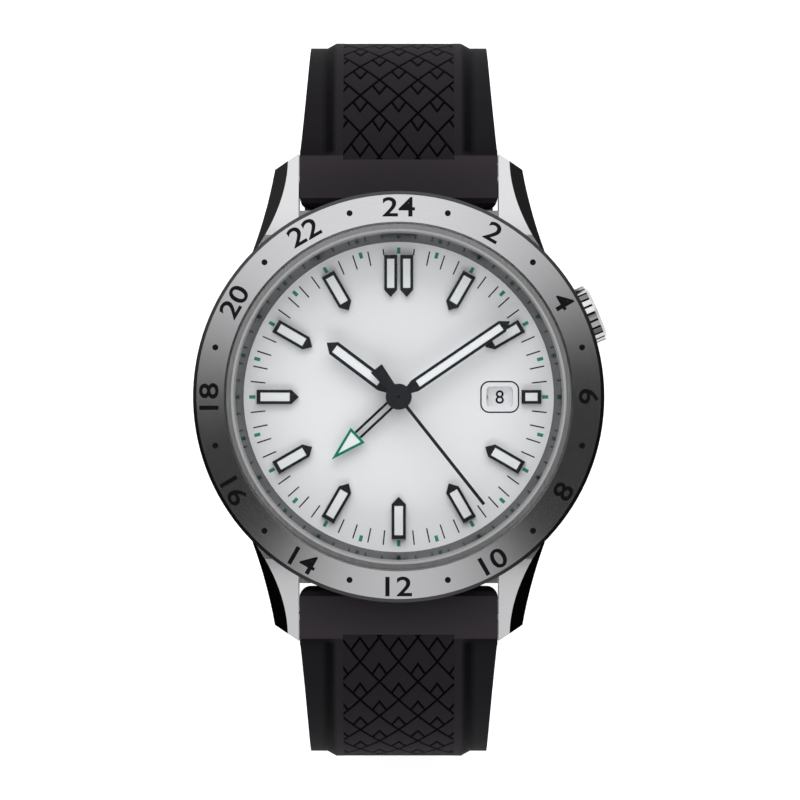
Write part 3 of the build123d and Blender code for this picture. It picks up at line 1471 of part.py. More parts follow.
with BuildPart() as buckle_tongue:
    with BuildSketch(Plane.YZ):
        with BuildLine():
            Polyline((buckle_bar_reach, buckle_bar_height),
                     (buckle_bar_reach, buckle_bar_height - tongue_eye_radius),
                     (frame_bow_reach, tongue_top - tongue_thickness),
                     (frame_end_reach - tongue_tip, tongue_top - tongue_thickness),
                     (frame_end_reach - tongue_tip, tongue_top), (frame_bow_reach, tongue_top),
                     (buckle_bar_reach - tongue_eye_radius, buckle_bar_height), close=True)
        make_face()
        with Locations((buckle_bar_reach, buckle_bar_height)):
            Circle(tongue_eye_radius)
            Circle(bar_radius + seat_gap, mode=Mode.SUBTRACT)
    extrude(amount=tongue_width / 2, both=True)
buckle_tongue.part.label = "buckle_tongue"
export_step(buckle_tongue.part, "parts/buckle_tongue.step")


def keeper_loop(plane, across_low, across_high, length):
    """Adds a flat rubber loop whose inside spans across_low to across_high."""
    middle = (across_low + across_high) / 2
    span = across_high - across_low
    inside = 2 * (half_end + keeper_side_gap)
    with BuildSketch(plane) as profile:
        with Locations((0, middle)):
            Rectangle(inside + 2 * keeper_wall, span + 2 * keeper_wall)
            Rectangle(inside, span, mode=Mode.SUBTRACT)
    extrude(profile.sketch, amount=length)


# Keepers: the fixed one near the buckle, and the sliding one behind it on the same run of strap
for keeper_name, keeper_start in (("fixed_keeper", fixed_keeper_start),
                                  ("sliding_keeper", fixed_keeper_start + keeper_length + keeper_spacing)):
    keeper_plane = Plane(origin=(0, keeper_start, 0), x_dir=(1, 0, 0), z_dir=(0, -1, 0))
    with BuildPart() as keeper:
        keeper_loop(keeper_plane, buckle_floor - strap_end_thickness - keeper_play,
                    buckle_floor + strap_end_thickness, -keeper_length)
    keeper.part.label = keeper_name
    export_step(keeper.part, "parts/" + keeper_name + ".step")
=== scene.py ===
import bmesh
import bpy
import math
from mathutils import Matrix, Vector

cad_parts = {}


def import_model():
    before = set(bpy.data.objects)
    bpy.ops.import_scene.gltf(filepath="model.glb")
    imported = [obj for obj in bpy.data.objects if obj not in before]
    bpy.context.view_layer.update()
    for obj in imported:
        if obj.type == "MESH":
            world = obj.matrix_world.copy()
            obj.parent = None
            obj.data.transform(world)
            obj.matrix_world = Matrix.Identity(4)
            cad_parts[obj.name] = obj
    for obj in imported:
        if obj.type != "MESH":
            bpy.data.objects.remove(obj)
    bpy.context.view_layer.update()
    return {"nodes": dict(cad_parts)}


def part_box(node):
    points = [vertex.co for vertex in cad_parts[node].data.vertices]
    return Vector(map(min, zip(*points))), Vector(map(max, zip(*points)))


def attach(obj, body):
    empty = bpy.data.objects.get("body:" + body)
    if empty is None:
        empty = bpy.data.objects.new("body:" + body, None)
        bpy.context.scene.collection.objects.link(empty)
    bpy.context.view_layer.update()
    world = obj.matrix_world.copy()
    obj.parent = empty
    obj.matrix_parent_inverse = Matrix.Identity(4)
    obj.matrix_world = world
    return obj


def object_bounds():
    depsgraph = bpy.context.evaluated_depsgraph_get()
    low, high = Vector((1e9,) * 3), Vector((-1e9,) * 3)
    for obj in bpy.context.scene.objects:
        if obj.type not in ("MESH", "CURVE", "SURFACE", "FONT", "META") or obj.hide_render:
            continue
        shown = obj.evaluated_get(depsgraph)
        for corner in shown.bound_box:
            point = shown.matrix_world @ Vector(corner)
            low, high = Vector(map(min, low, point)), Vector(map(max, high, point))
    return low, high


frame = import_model()

# Movement plates, bridges and balance cock: brass sheet under a pale rhodium plating, milled to shape.
# The bridges show broad parallel stripes, ground on with a turning peg before the plating.


def bare_material(name, colour, metallic, roughness):
    """A material at plain values, with its node tree and its shader."""
    material = bpy.data.materials.new(name)
    material.use_nodes = True
    shader = material.node_tree.nodes["Principled BSDF"]
    shader.inputs["Base Color"].default_value = (*colour, 1)
    shader.inputs["Metallic"].default_value = metallic
    shader.inputs["Roughness"].default_value = roughness
    return material, material.node_tree, shader


def dress(material, *nodes):
    """Gives CAD nodes one material."""
    for node in nodes:
        materials = frame["nodes"][node].data.materials
        materials.clear()
        materials.append(material)


def add_step(tree, kind, sources, output, **settings):
    """Adds a node, feeds it plain values or other nodes' outputs, and hands back one of its own."""
    node = tree.nodes.new(kind)
    for setting, value in settings.items():
        setattr(node, setting, value)
    for socket, source in sources.items():
        if isinstance(source, bpy.types.NodeSocket):
            tree.links.new(source, node.inputs[socket])
        else:
            node.inputs[socket].default_value = source
    return node.outputs[output]


def vector_step(tree, operation, *sources):
    output = "Value" if operation in ("LENGTH", "DOT_PRODUCT") else "Vector"
    return add_step(tree, "ShaderNodeVectorMath", dict(enumerate(sources)), output, operation=operation)


def math_step(tree, operation, *sources):
    return add_step(tree, "ShaderNodeMath", dict(enumerate(sources)), "Value", operation=operation)


def scaled_range(tree, source, low, high, start=0.0, end=1.0, curve="LINEAR"):
    """Runs from low to high while the source runs from start to end."""
    return add_step(tree, "ShaderNodeMapRange", {"Value": source, "From Min": start, "From Max": end,
                                                 "To Min": low, "To Max": high},
                    "Result", interpolation_type=curve)


def tinted(tree, mask, first, second):
    return add_step(tree, "ShaderNodeMix", {"A": (*first, 1), "B": (*second, 1), "Factor": mask},
                    "Result", data_type="RGBA")


def bumped(tree, shader, height, strength, distance):
    normal = add_step(tree, "ShaderNodeBump", {"Strength": strength, "Distance": distance, "Height": height},
                      "Normal")
    tree.links.new(normal, shader.inputs["Normal"])


def object_place(tree, turn=0.0, centre=(0, 0, 0)):
    place = tree.nodes.new("ShaderNodeTexCoord").outputs["Object"]
    return add_step(tree, "ShaderNodeMapping", {"Vector": place, "Location": centre, "Rotation": (0, 0, turn)},
                    "Vector")


def grain_group(name, stretched_place):
    """A node group of fine scratches, in a place that another function stretches."""
    group = bpy.data.node_groups.new(name, "ShaderNodeTree")
    group.interface.new_socket("Place", in_out="INPUT", socket_type="NodeSocketVector")
    group.interface.new_socket("Fineness", in_out="INPUT", socket_type="NodeSocketFloat")
    group.interface.new_socket("Grain", in_out="OUTPUT", socket_type="NodeSocketFloat")
    given = group.nodes.new("NodeGroupInput").outputs
    made = group.nodes.new("NodeGroupOutput").inputs
    grain = add_step(group, "ShaderNodeTexNoise", {"Vector": stretched_place(group, given["Place"]),
                                                   "Scale": given["Fineness"], "Detail": 3}, "Fac")
    group.links.new(grain, made["Grain"])
    return group


def drawn_along_y(group, place):
    stretch = (1, 0.03, 1)
    return vector_step(group, "MULTIPLY", place, stretch)


def grain_of(tree, group, place, fineness):
    return add_step(tree, "ShaderNodeGroup", {"Place": place, "Fineness": fineness}, "Grain", node_tree=group)


straight_grain = grain_group("straight_grain", drawn_along_y)
plating_dark = (0.56, 0.56, 0.58)
plating_pale = (0.74, 0.74, 0.76)


def plated(name, stripe_turn, stripe_scale):
    material, tree, shader = bare_material(name, (0.66, 0.66, 0.68), 1, 0.28)
    place = object_place(tree, turn=stripe_turn)
    stripes = add_step(tree, "ShaderNodeTexWave", {"Vector": place, "Scale": stripe_scale}, "Fac",
                       bands_direction="X")
    grain = grain_of(tree, straight_grain, place, fineness=9000)
    tree.links.new(tinted(tree, stripes, plating_dark, plating_pale), shader.inputs["Base Color"])
    tree.links.new(scaled_range(tree, grain, low=0.2, high=0.42), shader.inputs["Roughness"])
    bumped(tree, shader, stripes, strength=0.25, distance=0.00003)
    return material


dress(plated("plated_plate", stripe_turn=0.6, stripe_scale=40), "main_plate", "movement_holder")
dress(plated("striped_bridge", stripe_turn=-0.8, stripe_scale=180),
      "barrel_bridge", "train_bridge", "balance_cock")

# Winding rotor: a half disc of plated heavy metal on a small ball bearing, turned on a lathe.
# Its face is ground in fine circles about the bearing.


def axis_reach(tree, place):
    """Distance from the Z axis."""
    return vector_step(tree, "LENGTH", vector_step(tree, "MULTIPLY", place, (1, 1, 0)))


def axis_part(tree, place, axis):
    return add_step(tree, "ShaderNodeSeparateXYZ", {"Vector": place}, axis)


def circles_about_z(group, place):
    """A place that changes slowly round the Z axis and fast away from it, without a seam."""
    drift = 0.0012
    outward = vector_step(group, "NORMALIZE", vector_step(group, "MULTIPLY", place, (1, 1, 0)))
    slow = add_step(group, "ShaderNodeVectorMath", {0: outward, "Scale": drift}, "Vector", operation="SCALE")
    depth = math_step(group, "ADD", axis_reach(group, place), axis_part(group, place, "Z"))
    return add_step(group, "ShaderNodeCombineXYZ", {"X": axis_part(group, slow, "X"),
                                                    "Y": axis_part(group, slow, "Y"), "Z": depth}, "Vector")


turned_grain = grain_group("turned_grain", circles_about_z)
grain_tone_shares = (0.94, 1.06)
grain_roughness_shares = (0.85, 1.15)


def shaded(colour, share):
    return tuple(min(1, part * share) for part in colour)


def turned_metal(name, colour, roughness, fineness, anisotropy=0.0, bump=0.15):
    material, tree, shader = bare_material(name, colour, 1, roughness)
    grain = grain_of(tree, turned_grain, object_place(tree), fineness)
    dark, light = (shaded(colour, share) for share in grain_tone_shares)
    smooth, rough = (roughness * share for share in grain_roughness_shares)
    tree.links.new(tinted(tree, grain, dark, light), shader.inputs["Base Color"])
    tree.links.new(scaled_range(tree, grain, smooth, rough), shader.inputs["Roughness"])
    bumped(tree, shader, grain, strength=bump, distance=0.000004)
    if anisotropy:
        quarter_turn = 0.25
        shader.inputs["Anisotropic"].default_value = anisotropy
        shader.inputs["Anisotropic Rotation"].default_value = quarter_turn
        tangent = add_step(tree, "ShaderNodeTangent", {}, "Tangent", direction_type="RADIAL", axis="Z")
        tree.links.new(tangent, shader.inputs["Tangent"])
    return material


rotor_metal = turned_metal("turned_rotor", (0.62, 0.62, 0.64), roughness=0.25, fineness=9000, anisotropy=0.5)
dress(rotor_metal, "rotor")

# Wheels of the going train, motion work and barrel: gilt brass, cut and then ground flat.
# They turn on steel pivots in ruby bearings pressed into the plates.
# The end of the fourth wheel's arbor, which stands out above the dial, is blackened.
dial_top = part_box("dial")[1].z
gilt_brass = turned_metal("gilt_brass", (0.80, 0.62, 0.30), roughness=0.24, fineness=16000)
dress(gilt_brass, "mainspring_barrel", "centre_wheel", "third_wheel", "escape_wheel", "balance_wheel",
      "cannon_pinion", "minute_wheel", "hour_wheel", "day_idler", "day_wheel")


def noise(tree, scale, detail=2):
    sources = {"Vector": object_place(tree), "Scale": scale, "Detail": detail}
    return add_step(tree, "ShaderNodeTexNoise", sources, "Fac")


def overlay(tree, mask, colour):
    """Lays a second colour over what feeds the shader's colour, where the mask is one."""
    base = tree.nodes["Principled BSDF"].inputs["Base Color"]
    laid = add_step(tree, "ShaderNodeMix", {"A": base.links[0].from_socket, "B": (*colour, 1), "Factor": mask},
                    "Result", data_type="RGBA")
    tree.links.new(laid, base)


arbor_black = (0.012, 0.012, 0.014)
fourth_brass = gilt_brass.copy()
fourth_brass.name = "fourth_wheel_brass"
fourth_tree = fourth_brass.node_tree
fourth_height = axis_part(fourth_tree, object_place(fourth_tree), "Z")
overlay(fourth_tree, math_step(fourth_tree, "GREATER_THAN", fourth_height, dial_top), arbor_black)
dress(fourth_brass, "fourth_wheel")

ruby, ruby_tree, ruby_shader = bare_material("ruby", (0.55, 0.03, 0.12), 0, 0.08)
ruby_cloud = tinted(ruby_tree, noise(ruby_tree, scale=2500), (0.45, 0.01, 0.08), (0.66, 0.05, 0.16))
ruby_tree.links.new(ruby_cloud, ruby_shader.inputs["Base Color"])
dress(ruby, "jewels")

# Screws, arbors, stem, spring ring and other small steel parts: hardened and polished, some blued.
# A faint haze of handling keeps them from looking like mirrors.
haze_tone_share = 0.94
haze_roughness_shares = (0.6, 1.6)


def polished(name, colour, roughness):
    material, tree, shader = bare_material(name, colour, 1, roughness)
    haze = noise(tree, scale=1400, detail=4)
    smooth, rough = (roughness * share for share in haze_roughness_shares)
    tree.links.new(scaled_range(tree, haze, smooth, rough), shader.inputs["Roughness"])
    tree.links.new(tinted(tree, haze, shaded(colour, haze_tone_share), colour), shader.inputs["Base Color"])
    return material


dress(polished("polished_small_steel", (0.72, 0.72, 0.74), roughness=0.12),
      "barrel_arbor", "rotor_bearing", "pallet_fork", "winding_stem", "winding_pinion", "crown_tube",
      "bezel_spring", "spring_bar_12", "spring_bar_6", "buckle_spring_bar")
dress(polished("blued_steel", (0.04, 0.08, 0.36), roughness=0.14), "bridge_screws", "hairspring")

# Mid case with its lugs: stainless steel, turned and milled, then brushed along the lugs.
# The flanks and the long bevels of the lugs are polished, and the bevels get a painted dark reflection in
# their colour.


def bevel_mask_group():
    """One on faces that slope between wall and top, and zero on both of these."""
    upward_and_mask = ((0.3, 0), (0.5, 1), (0.885, 1), (0.925, 0))
    group = bpy.data.node_groups.new("bevel_mask", "ShaderNodeTree")
    group.interface.new_socket("Bevel", in_out="OUTPUT", socket_type="NodeSocketFloat")
    made = group.nodes.new("NodeGroupOutput").inputs
    normal = group.nodes.new("ShaderNodeNewGeometry").outputs["Normal"]
    ramp = group.nodes.new("ShaderNodeValToRGB")
    stops = ramp.color_ramp.elements
    for upward, _ in upward_and_mask[1:3]:
        stops.new(upward)
    for stop, (upward, mask) in enumerate(upward_and_mask):
        stops[stop].position = upward
        stops[stop].color = (mask, mask, mask, 1)
    group.links.new(axis_part(group, normal, "Z"), ramp.inputs["Fac"])
    group.links.new(ramp.outputs["Color"], made["Bevel"])
    return group


bevel_mask = bevel_mask_group()
# Painted reflection: the sloped bevels get a dark colour in place of the dark room they would mirror.
painted_bevel_shade = (0.08, 0.08, 0.083)


def darken_bevels(tree, colour, least_reach=0.0):
    """Paints a dark reflection into the colour of the bevels that lie farther from the Z axis than the least
    reach.
    """
    bevels = add_step(tree, "ShaderNodeGroup", {}, "Bevel", node_tree=bevel_mask)
    outside = math_step(tree, "GREATER_THAN", axis_reach(tree, object_place(tree)), least_reach)
    overlay(tree, math_step(tree, "MULTIPLY", bevels, outside), colour)


case_steel, case_tree, case_shader = bare_material("case_steel", (0.56, 0.56, 0.57), 1, 0.2)
case_grain = grain_of(case_tree, straight_grain, object_place(case_tree), fineness=14000)
case_normal = case_tree.nodes.new("ShaderNodeNewGeometry").outputs["Normal"]
case_upward = axis_part(case_tree, case_normal, "Z")
case_brushed = scaled_range(case_tree, case_upward, low=0, high=1, start=0.84, end=0.9)
brushed_roughness = scaled_range(case_tree, case_grain, low=0.14, high=0.24)
polished_roughness = 0.1
case_roughness = add_step(case_tree, "ShaderNodeMix", {"A": polished_roughness, "B": brushed_roughness,
                                                       "Factor": case_brushed}, "Result", data_type="FLOAT")
case_tree.links.new(case_roughness, case_shader.inputs["Roughness"])
case_tree.links.new(tinted(case_tree, case_grain, (0.53, 0.53, 0.54), (0.59, 0.59, 0.6)),
                    case_shader.inputs["Base Color"])
case_scratches = math_step(case_tree, "MULTIPLY", case_grain, case_brushed)
bumped(case_tree, case_shader, case_scratches, strength=0.12, distance=0.00001)
# Painted dark reflection on the case's bevels.
darken_bevels(case_tree, painted_bevel_shade)
dress(case_steel, "mid_case")

# Bezel: a turned steel ring with a sloping face, brushed in circles, that the wearer turns.
# Its 24-hour numerals and dots are cut in and filled with black lacquer.
bezel_rim_reach = 0.0195
bezel_steel = turned_metal("bezel_steel", (0.5, 0.5, 0.51), roughness=0.24, fineness=14000, anisotropy=0.6)
# Painted dark reflection on the bezel's outer bevel.
darken_bevels(bezel_steel.node_tree, painted_bevel_shade, least_reach=bezel_rim_reach)
dress(bezel_steel, "bezel")
bezel_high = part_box("bezel")[1]
bezel_face_drop = 0.0007
bezel_rim_bevel = 0.00035
bezel_face_inner = 0.0174
bezel_face_outer = bezel_high.x - bezel_rim_bevel


def bezel_face(reach):
    """Height of the bezel's sloping face at a distance from the centre."""
    share = (reach - bezel_face_inner) / (bezel_face_outer - bezel_face_inner)
    return bezel_high.z - bezel_face_drop * share


def flat_text(words, size, depth, boldness):
    """Words as a closed mesh centred on the origin, and its size."""
    curve = bpy.data.curves.new("words", "FONT")
    curve.body = words
    curve.size = size
    curve.align_x = "CENTER"
    curve.extrude = depth / 2
    curve.offset = size * boldness
    curve.resolution_u = 4
    holder = bpy.data.objects.new("words", curve)
    bpy.context.scene.collection.objects.link(holder)
    bpy.context.view_layer.update()
    mesh = bpy.data.meshes.new_from_object(holder.evaluated_get(bpy.context.evaluated_depsgraph_get()))
    bpy.data.objects.remove(holder)
    low = Vector((min(v.co[axis] for v in mesh.vertices) for axis in range(3)))
    high = Vector((max(v.co[axis] for v in mesh.vertices) for axis in range(3)))
    mesh.transform(Matrix.Translation(-(low + high) / 2))
    return mesh, high - low


def new_piece(name, solid, body, material):
    """Makes a finished piece of a bmesh, and lets it ride on a CAD body."""
    mesh = bpy.data.meshes.new(name)
    solid.to_mesh(mesh)
    solid.free()
    mesh.materials.append(material)
    piece = bpy.data.objects.new(name, mesh)
    bpy.context.scene.collection.objects.link(piece)
    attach(piece, body)


def speckled(name, colour, roughness, scale, spread=0.12, bump=0.1, shine=0.5):
    """Paint, rubber or lacquer with a fine uneven tone."""
    material, tree, shader = bare_material(name, colour, 0, roughness)
    speck = noise(tree, scale, detail=5)
    tree.links.new(tinted(tree, speck, shaded(colour, 1 - spread), shaded(colour, 1 + spread)),
                   shader.inputs["Base Color"])
    smooth, rough = (min(1, roughness * share) for share in grain_roughness_shares)
    tree.links.new(scaled_range(tree, speck, smooth, rough), shader.inputs["Roughness"])
    bumped(tree, shader, speck, strength=bump, distance=0.00002)
    shader.inputs["Specular IOR Level"].default_value = shine
    return material


black_fill = speckled("black_lacquer_fill", (0.005, 0.005, 0.006), roughness=0.4, scale=3000, shine=0.08)
numeral_count = 12
numeral_step = 360 / numeral_count
numeral_reach = 0.0189
numeral_size = 0.0028
numeral_height = 0.00196
numeral_widening = 1.2
numeral_boldness = 0.014
upside_down_places = range(4, 9)
dot_radius = 0.0003
dot_segments = 20
fill_depth = 0.00006
fill_proud = 0.000012
merge_distance = 1e-7


def clock_turn(degrees):
    return Matrix.Rotation(-math.radians(degrees), 4, "Z")


numerals = bmesh.new()
for place in range(numeral_count):
    words, size = flat_text(str(2 * place or 24), numeral_size, fill_depth, numeral_boldness)
    words.transform(Matrix.Diagonal((numeral_widening, numeral_height / size.y, 1, 1)))
    if place in upside_down_places:
        words.transform(Matrix.Rotation(math.pi, 4, "Z"))
    words.transform(clock_turn(numeral_step * place) @ Matrix.Translation((0, numeral_reach, 0)))
    numerals.from_mesh(words)
    bpy.data.meshes.remove(words)
for place in range(numeral_count):
    middle = clock_turn(numeral_step * (place + 0.5)) @ Matrix.Translation((0, numeral_reach, 0))
    bmesh.ops.create_cone(numerals, cap_ends=True, segments=dot_segments, depth=fill_depth,
                          radius1=dot_radius, radius2=dot_radius, matrix=middle)
bmesh.ops.remove_doubles(numerals, verts=numerals.verts, dist=merge_distance)
for vert in numerals.verts:
    lift = fill_proud if vert.co.z > 0 else fill_proud - fill_depth
    vert.co.z = bezel_face(vert.co.xy.length) + lift
bmesh.ops.recalc_face_normals(numerals, faces=numerals.faces)
new_piece("bezel_numerals", numerals, "bezel", black_fill)

# Inner flange: a polished steel cone between dial and crystal.
# It is pressed into the neck and mirrors the edge of the dial.
flange_steel = turned_metal("flange_steel", (0.15, 0.15, 0.155), roughness=0.16, fineness=9000, bump=0.08)
dress(flange_steel, "inner_flange")

# Crystal and back window: clear mineral glass, ground flat with a small chamfer, pressed into gaskets.
# Light passes straight through, and a weak reflection stays on the surface.
glass, glass_tree, glass_shader = bare_material("clear_crystal", (1, 1, 1), 0, 0.02)
glass_shader.inputs["Transmission Weight"].default_value = 1
glass_shader.inputs["IOR"].default_value = 1.25
glass_smear = scaled_range(glass_tree, noise(glass_tree, scale=300), low=0, high=0.008)
glass_tree.links.new(glass_smear, glass_shader.inputs["Roughness"])
glass_path = glass_tree.nodes.new("ShaderNodeLightPath").outputs
glass_passing = math_step(glass_tree, "MAXIMUM", glass_path["Is Shadow Ray"], glass_path["Is Diffuse Ray"])
glass_open = glass_tree.nodes.new("ShaderNodeBsdfTransparent").outputs["BSDF"]
glass_surface = add_step(glass_tree, "ShaderNodeMixShader",
                         {0: glass_passing, 1: glass_shader.outputs["BSDF"], 2: glass_open}, "Shader")
glass_tree.links.new(glass_surface, glass_tree.nodes["Material Output"].inputs["Surface"])
dress(glass, "crystal", "back_glass")
for node in ("crystal", "back_glass"):
    for face in frame["nodes"][node].data.polygons:
        face.use_smooth = False

# Gaskets: soft black rubber rings that seal the back window, case back and crown.
# The crystal sits in a ring of pale nylon, and all are squeezed in at assembly.
dress(speckled("gasket_rubber", (0.02, 0.02, 0.021), roughness=0.7, scale=4000),
      "glass_gasket", "back_gasket", "crown_gasket")
dress(speckled("gasket_nylon", (0.34, 0.34, 0.34), roughness=0.4, scale=4000), "crystal_gasket")

# Case back: a turned steel ring with six tool notches, brushed in circles.
# It is screwed into the mid case over its gasket.
back_steel = turned_metal("back_steel", (0.74, 0.74, 0.75), roughness=0.26, fineness=11000, anisotropy=0.6)
dress(back_steel, "case_back")

# Crown: a fluted steel cap, turned and polished, that slides and turns on its tube.
# The bottoms of the flutes get painted shade in their colour.
crown_angle = math.radians(23.4)
flute_bottom_radius = 0.00274
flute_rim_radius = 0.0029
flute_end_reach = 0.0214
flute_painted_shade = (0.03, 0.03, 0.032)
crown_steel = polished("crown_steel", (0.6, 0.6, 0.61), roughness=0.1)
crown_tree = crown_steel.node_tree
crown_low, crown_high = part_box("crown")
crown_place = object_place(crown_tree, turn=-crown_angle, centre=(0, 0, -(crown_low.z + crown_high.z) / 2))
crown_radius = vector_step(crown_tree, "LENGTH", vector_step(crown_tree, "MULTIPLY", crown_place, (0, 1, 1)))
flute_deep = scaled_range(crown_tree, crown_radius, low=1, high=0,
                          start=flute_bottom_radius, end=flute_rim_radius)
flute_side = math_step(crown_tree, "LESS_THAN", axis_part(crown_tree, crown_place, "X"), flute_end_reach)
# Painted shade at the flute bottoms.
overlay(crown_tree, math_step(crown_tree, "MULTIPLY", flute_deep, flute_side), flute_painted_shade)
dress(crown_steel, "crown")

# Dial: brass sheet under smooth white lacquer, with black printed minute lines and small green blocks.
# A thin rounded frame is printed about the date window.
dial_white = speckled("dial_white", (0.80, 0.81, 0.83), roughness=0.5, scale=5000,
                      spread=0.012, bump=0.02, shine=0.3)
dress(dial_white, "dial")
dial_black = speckled("dial_black_print", (0.006, 0.006, 0.007), roughness=0.5, scale=4000, shine=0.1)
dial_green = speckled("dial_green_print", (0.006, 0.24, 0.15), roughness=0.45, scale=4000)
print_depth = 0.000012
line_width = 0.00013
line_inner = 0.0134
line_inner_beside_12 = 0.01425
line_outer = 0.01487
block_width = 0.00034
block_inner = 0.01433
block_outer = 0.01494


def printed_block(solid, clock_degrees, inner, outer, width):
    """Adds a thin block of print that points outwards at a clock angle."""
    size = Matrix.Diagonal((width, outer - inner, print_depth, 1))
    shift = Matrix.Translation((0, (inner + outer) / 2, dial_top))
    bmesh.ops.create_cube(solid, size=1, matrix=clock_turn(clock_degrees) @ shift @ size)


lines = bmesh.new()
for minute in range(60):
    if minute % 5:
        inner = line_inner_beside_12 if minute in (1, 59) else line_inner
        printed_block(lines, 6 * minute, inner, line_outer, line_width)
new_piece("dial_minute_lines", lines, "case", dial_black)
blocks = bmesh.new()
for half_hour in range(24):
    printed_block(blocks, 15 * half_hour, block_inner, block_outer, block_width)
new_piece("dial_green_blocks", blocks, "case", dial_green)

window_reach = 0.0101
frame_width = 0.0039
frame_height = 0.0032
frame_corner = 0.0009
frame_line = 0.00014
corner_steps = 8


def thicken(solid, depth):
    """Makes a flat mesh a closed one of this depth, upwards."""
    top = bmesh.ops.extrude_face_region(solid, geom=solid.faces[:], use_keep_orig=True)
    lifted = [item for item in top["geom"] if isinstance(item, bmesh.types.BMVert)]
    bmesh.ops.translate(solid, verts=lifted, vec=(0, 0, depth))


date_frame = bmesh.new()
bmesh.ops.create_grid(date_frame, x_segments=1, y_segments=1, size=0.5,
                      matrix=Matrix.Translation((window_reach, 0, dial_top - print_depth / 2))
                      @ Matrix.Diagonal((frame_width, frame_height, 1, 1)))
bmesh.ops.bevel(date_frame, geom=date_frame.verts[:], offset=frame_corner, affect="VERTICES",
                segments=corner_steps, profile=0.5, material=-1)
inside = date_frame.faces[:]
bmesh.ops.inset_region(date_frame, faces=inside, thickness=frame_line, use_boundary=True, use_even_offset=True)
bmesh.ops.delete(date_frame, geom=inside, context="FACES")
thicken(date_frame, print_depth)
bmesh.ops.recalc_face_normals(date_frame, faces=date_frame.faces)
new_piece("dial_date_frame", date_frame, "case", dial_black)

# Date ring: a thin brass ring with inner teeth, lacquered white and printed with the days 1 to 31.
# One number shows through the dial's window.
# The ring is white lacquer, made a little paler than the dial as painted light against the shade in the deep
# window.
dress(speckled("ring_white", (0.84, 0.85, 0.87), roughness=0.5, scale=4000, spread=0.02), "date_ring")
ring_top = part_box("date_ring")[1].z
day_count = 31
shown_day = 8
day_size = 0.0019
day_boldness = 0.002
days = bmesh.new()
for day in range(1, day_count + 1):
    words, size = flat_text(str(day), day_size, print_depth, day_boldness)
    words.transform(Matrix.Translation((window_reach, 0, ring_top + print_depth / 2)))
    words.transform(Matrix.Rotation(2 * math.pi * (shown_day - day) / day_count, 4, "Z"))
    days.from_mesh(words)
    bpy.data.meshes.remove(words)
bmesh.ops.remove_doubles(days, verts=days.verts, dist=merge_distance)
bmesh.ops.recalc_face_normals(days, faces=days.faces)
new_piece("date_numbers", days, "date_ring", dial_black)

# Hour markers and hands: brass blanks, black plated, each filled flush with pale luminous paste.
# The markers stand on feet in the dial, and the hands are pressed on their pipes.
dress(speckled("hand_black", (0.014, 0.016, 0.02), roughness=0.16, scale=6000, bump=0.02),
      "hour_markers", "hour_hand", "minute_hand", "seconds_hand")
dress(speckled("luminous_paste", (0.80, 0.83, 0.84), roughness=0.6, scale=9000, spread=0.02, bump=0.05),
      "marker_lume", "hour_hand_lume", "minute_hand_lume", "day_hand_lume")

# 24-hour hand: black rails that carry an open green triangle, in one stamped piece.
# The paint changes where the triangle begins.
triangle_reach = 0.00552
rail_black = (0.008, 0.009, 0.012)
triangle_green = (0.003, 0.19, 0.11)
day_paint, day_tree, day_shader = bare_material("day_hand_paint", (0.01, 0.01, 0.01), 0, 0.15)
day_reach = axis_reach(day_tree, object_place(day_tree))
day_triangle = math_step(day_tree, "GREATER_THAN", day_reach, triangle_reach)
day_tree.links.new(tinted(day_tree, day_triangle, rail_black, triangle_green), day_shader.inputs["Base Color"])
dress(day_paint, "day_hand")

# Strap: two halves of moulded black rubber on spring bars, with a raised rib between two lower wings.
# The smooth noses get a painted sheen, and the wings and the valleys beside the rib get painted shade, all in
# the colour.
# A lattice of small pads fills the rib's sunk field, and grooves part them, floored with a dark skin of
# painted shade.
rubber_look = {"scale": 2500, "bump": 0.2}
strap_rubber = speckled("strap_rubber", (0.0165, 0.0145, 0.017), roughness=0.7, shine=0.05, **rubber_look)
pad_rubber = speckled("pad_rubber", (0.0155, 0.0135, 0.016), roughness=0.7, shine=0.04, **rubber_look)
groove_painted_shade = speckled("groove_painted_shade", (0.002, 0.002, 0.002), roughness=0.9, shine=0.02, **rubber_look)
keeper_rubber = speckled("keeper_rubber", (0.02, 0.0175, 0.02), roughness=0.7, shine=0.05, **rubber_look)
wing_painted_shade = (0.0105, 0.0095, 0.011)
nose_painted_sheen = (0.033, 0.0285, 0.033)
valley_painted_shade = (0.0035, 0.003, 0.0035)
wing_edge = (0.0062, 0.0072)
nose_end = (0.02405, 0.02425)
nose_low = (-0.004, -0.002)
valley_inner = (0.0062, 0.0067)
valley_outer = (0.0071, 0.0078)
valley_start = (0.0243, 0.0247)
valley_low = (-0.006, -0.002)
strap_tree = strap_rubber.node_tree
strap_place = object_place(strap_tree)
strap_across = math_step(strap_tree, "ABSOLUTE", axis_part(strap_tree, strap_place, "X"))
strap_out = math_step(strap_tree, "ABSOLUTE", axis_part(strap_tree, strap_place, "Y"))
strap_height = axis_part(strap_tree, strap_place, "Z")


def beyond(source, edge):
    """Rises from zero to one over the two values of an edge."""
    return scaled_range(strap_tree, source, low=0, high=1, start=edge[0], end=edge[1])


def before(source, edge):
    return scaled_range(strap_tree, source, low=1, high=0, start=edge[0], end=edge[1])


def strap_both(first, second):
    return math_step(strap_tree, "MULTIPLY", first, second)


# Painted shade on the wings.
overlay(strap_tree, beyond(strap_across, wing_edge), wing_painted_shade)
# Painted sheen on the smooth noses.
strap_nose = strap_both(before(strap_out, nose_end), beyond(strap_height, nose_low))
overlay(strap_tree, strap_nose, nose_painted_sheen)
# Painted shade in the valleys beside the rib.
strap_valley = strap_both(beyond(strap_across, valley_inner), before(strap_across, valley_outer))
beside_rib = strap_both(beyond(strap_out, valley_start), beyond(strap_height, valley_low))
overlay(strap_tree, strap_both(strap_valley, beside_rib), valley_painted_shade)
dress(strap_rubber, "tail_strap", "buckle_strap")
dress(keeper_rubber, "fixed_keeper", "sliding_keeper")

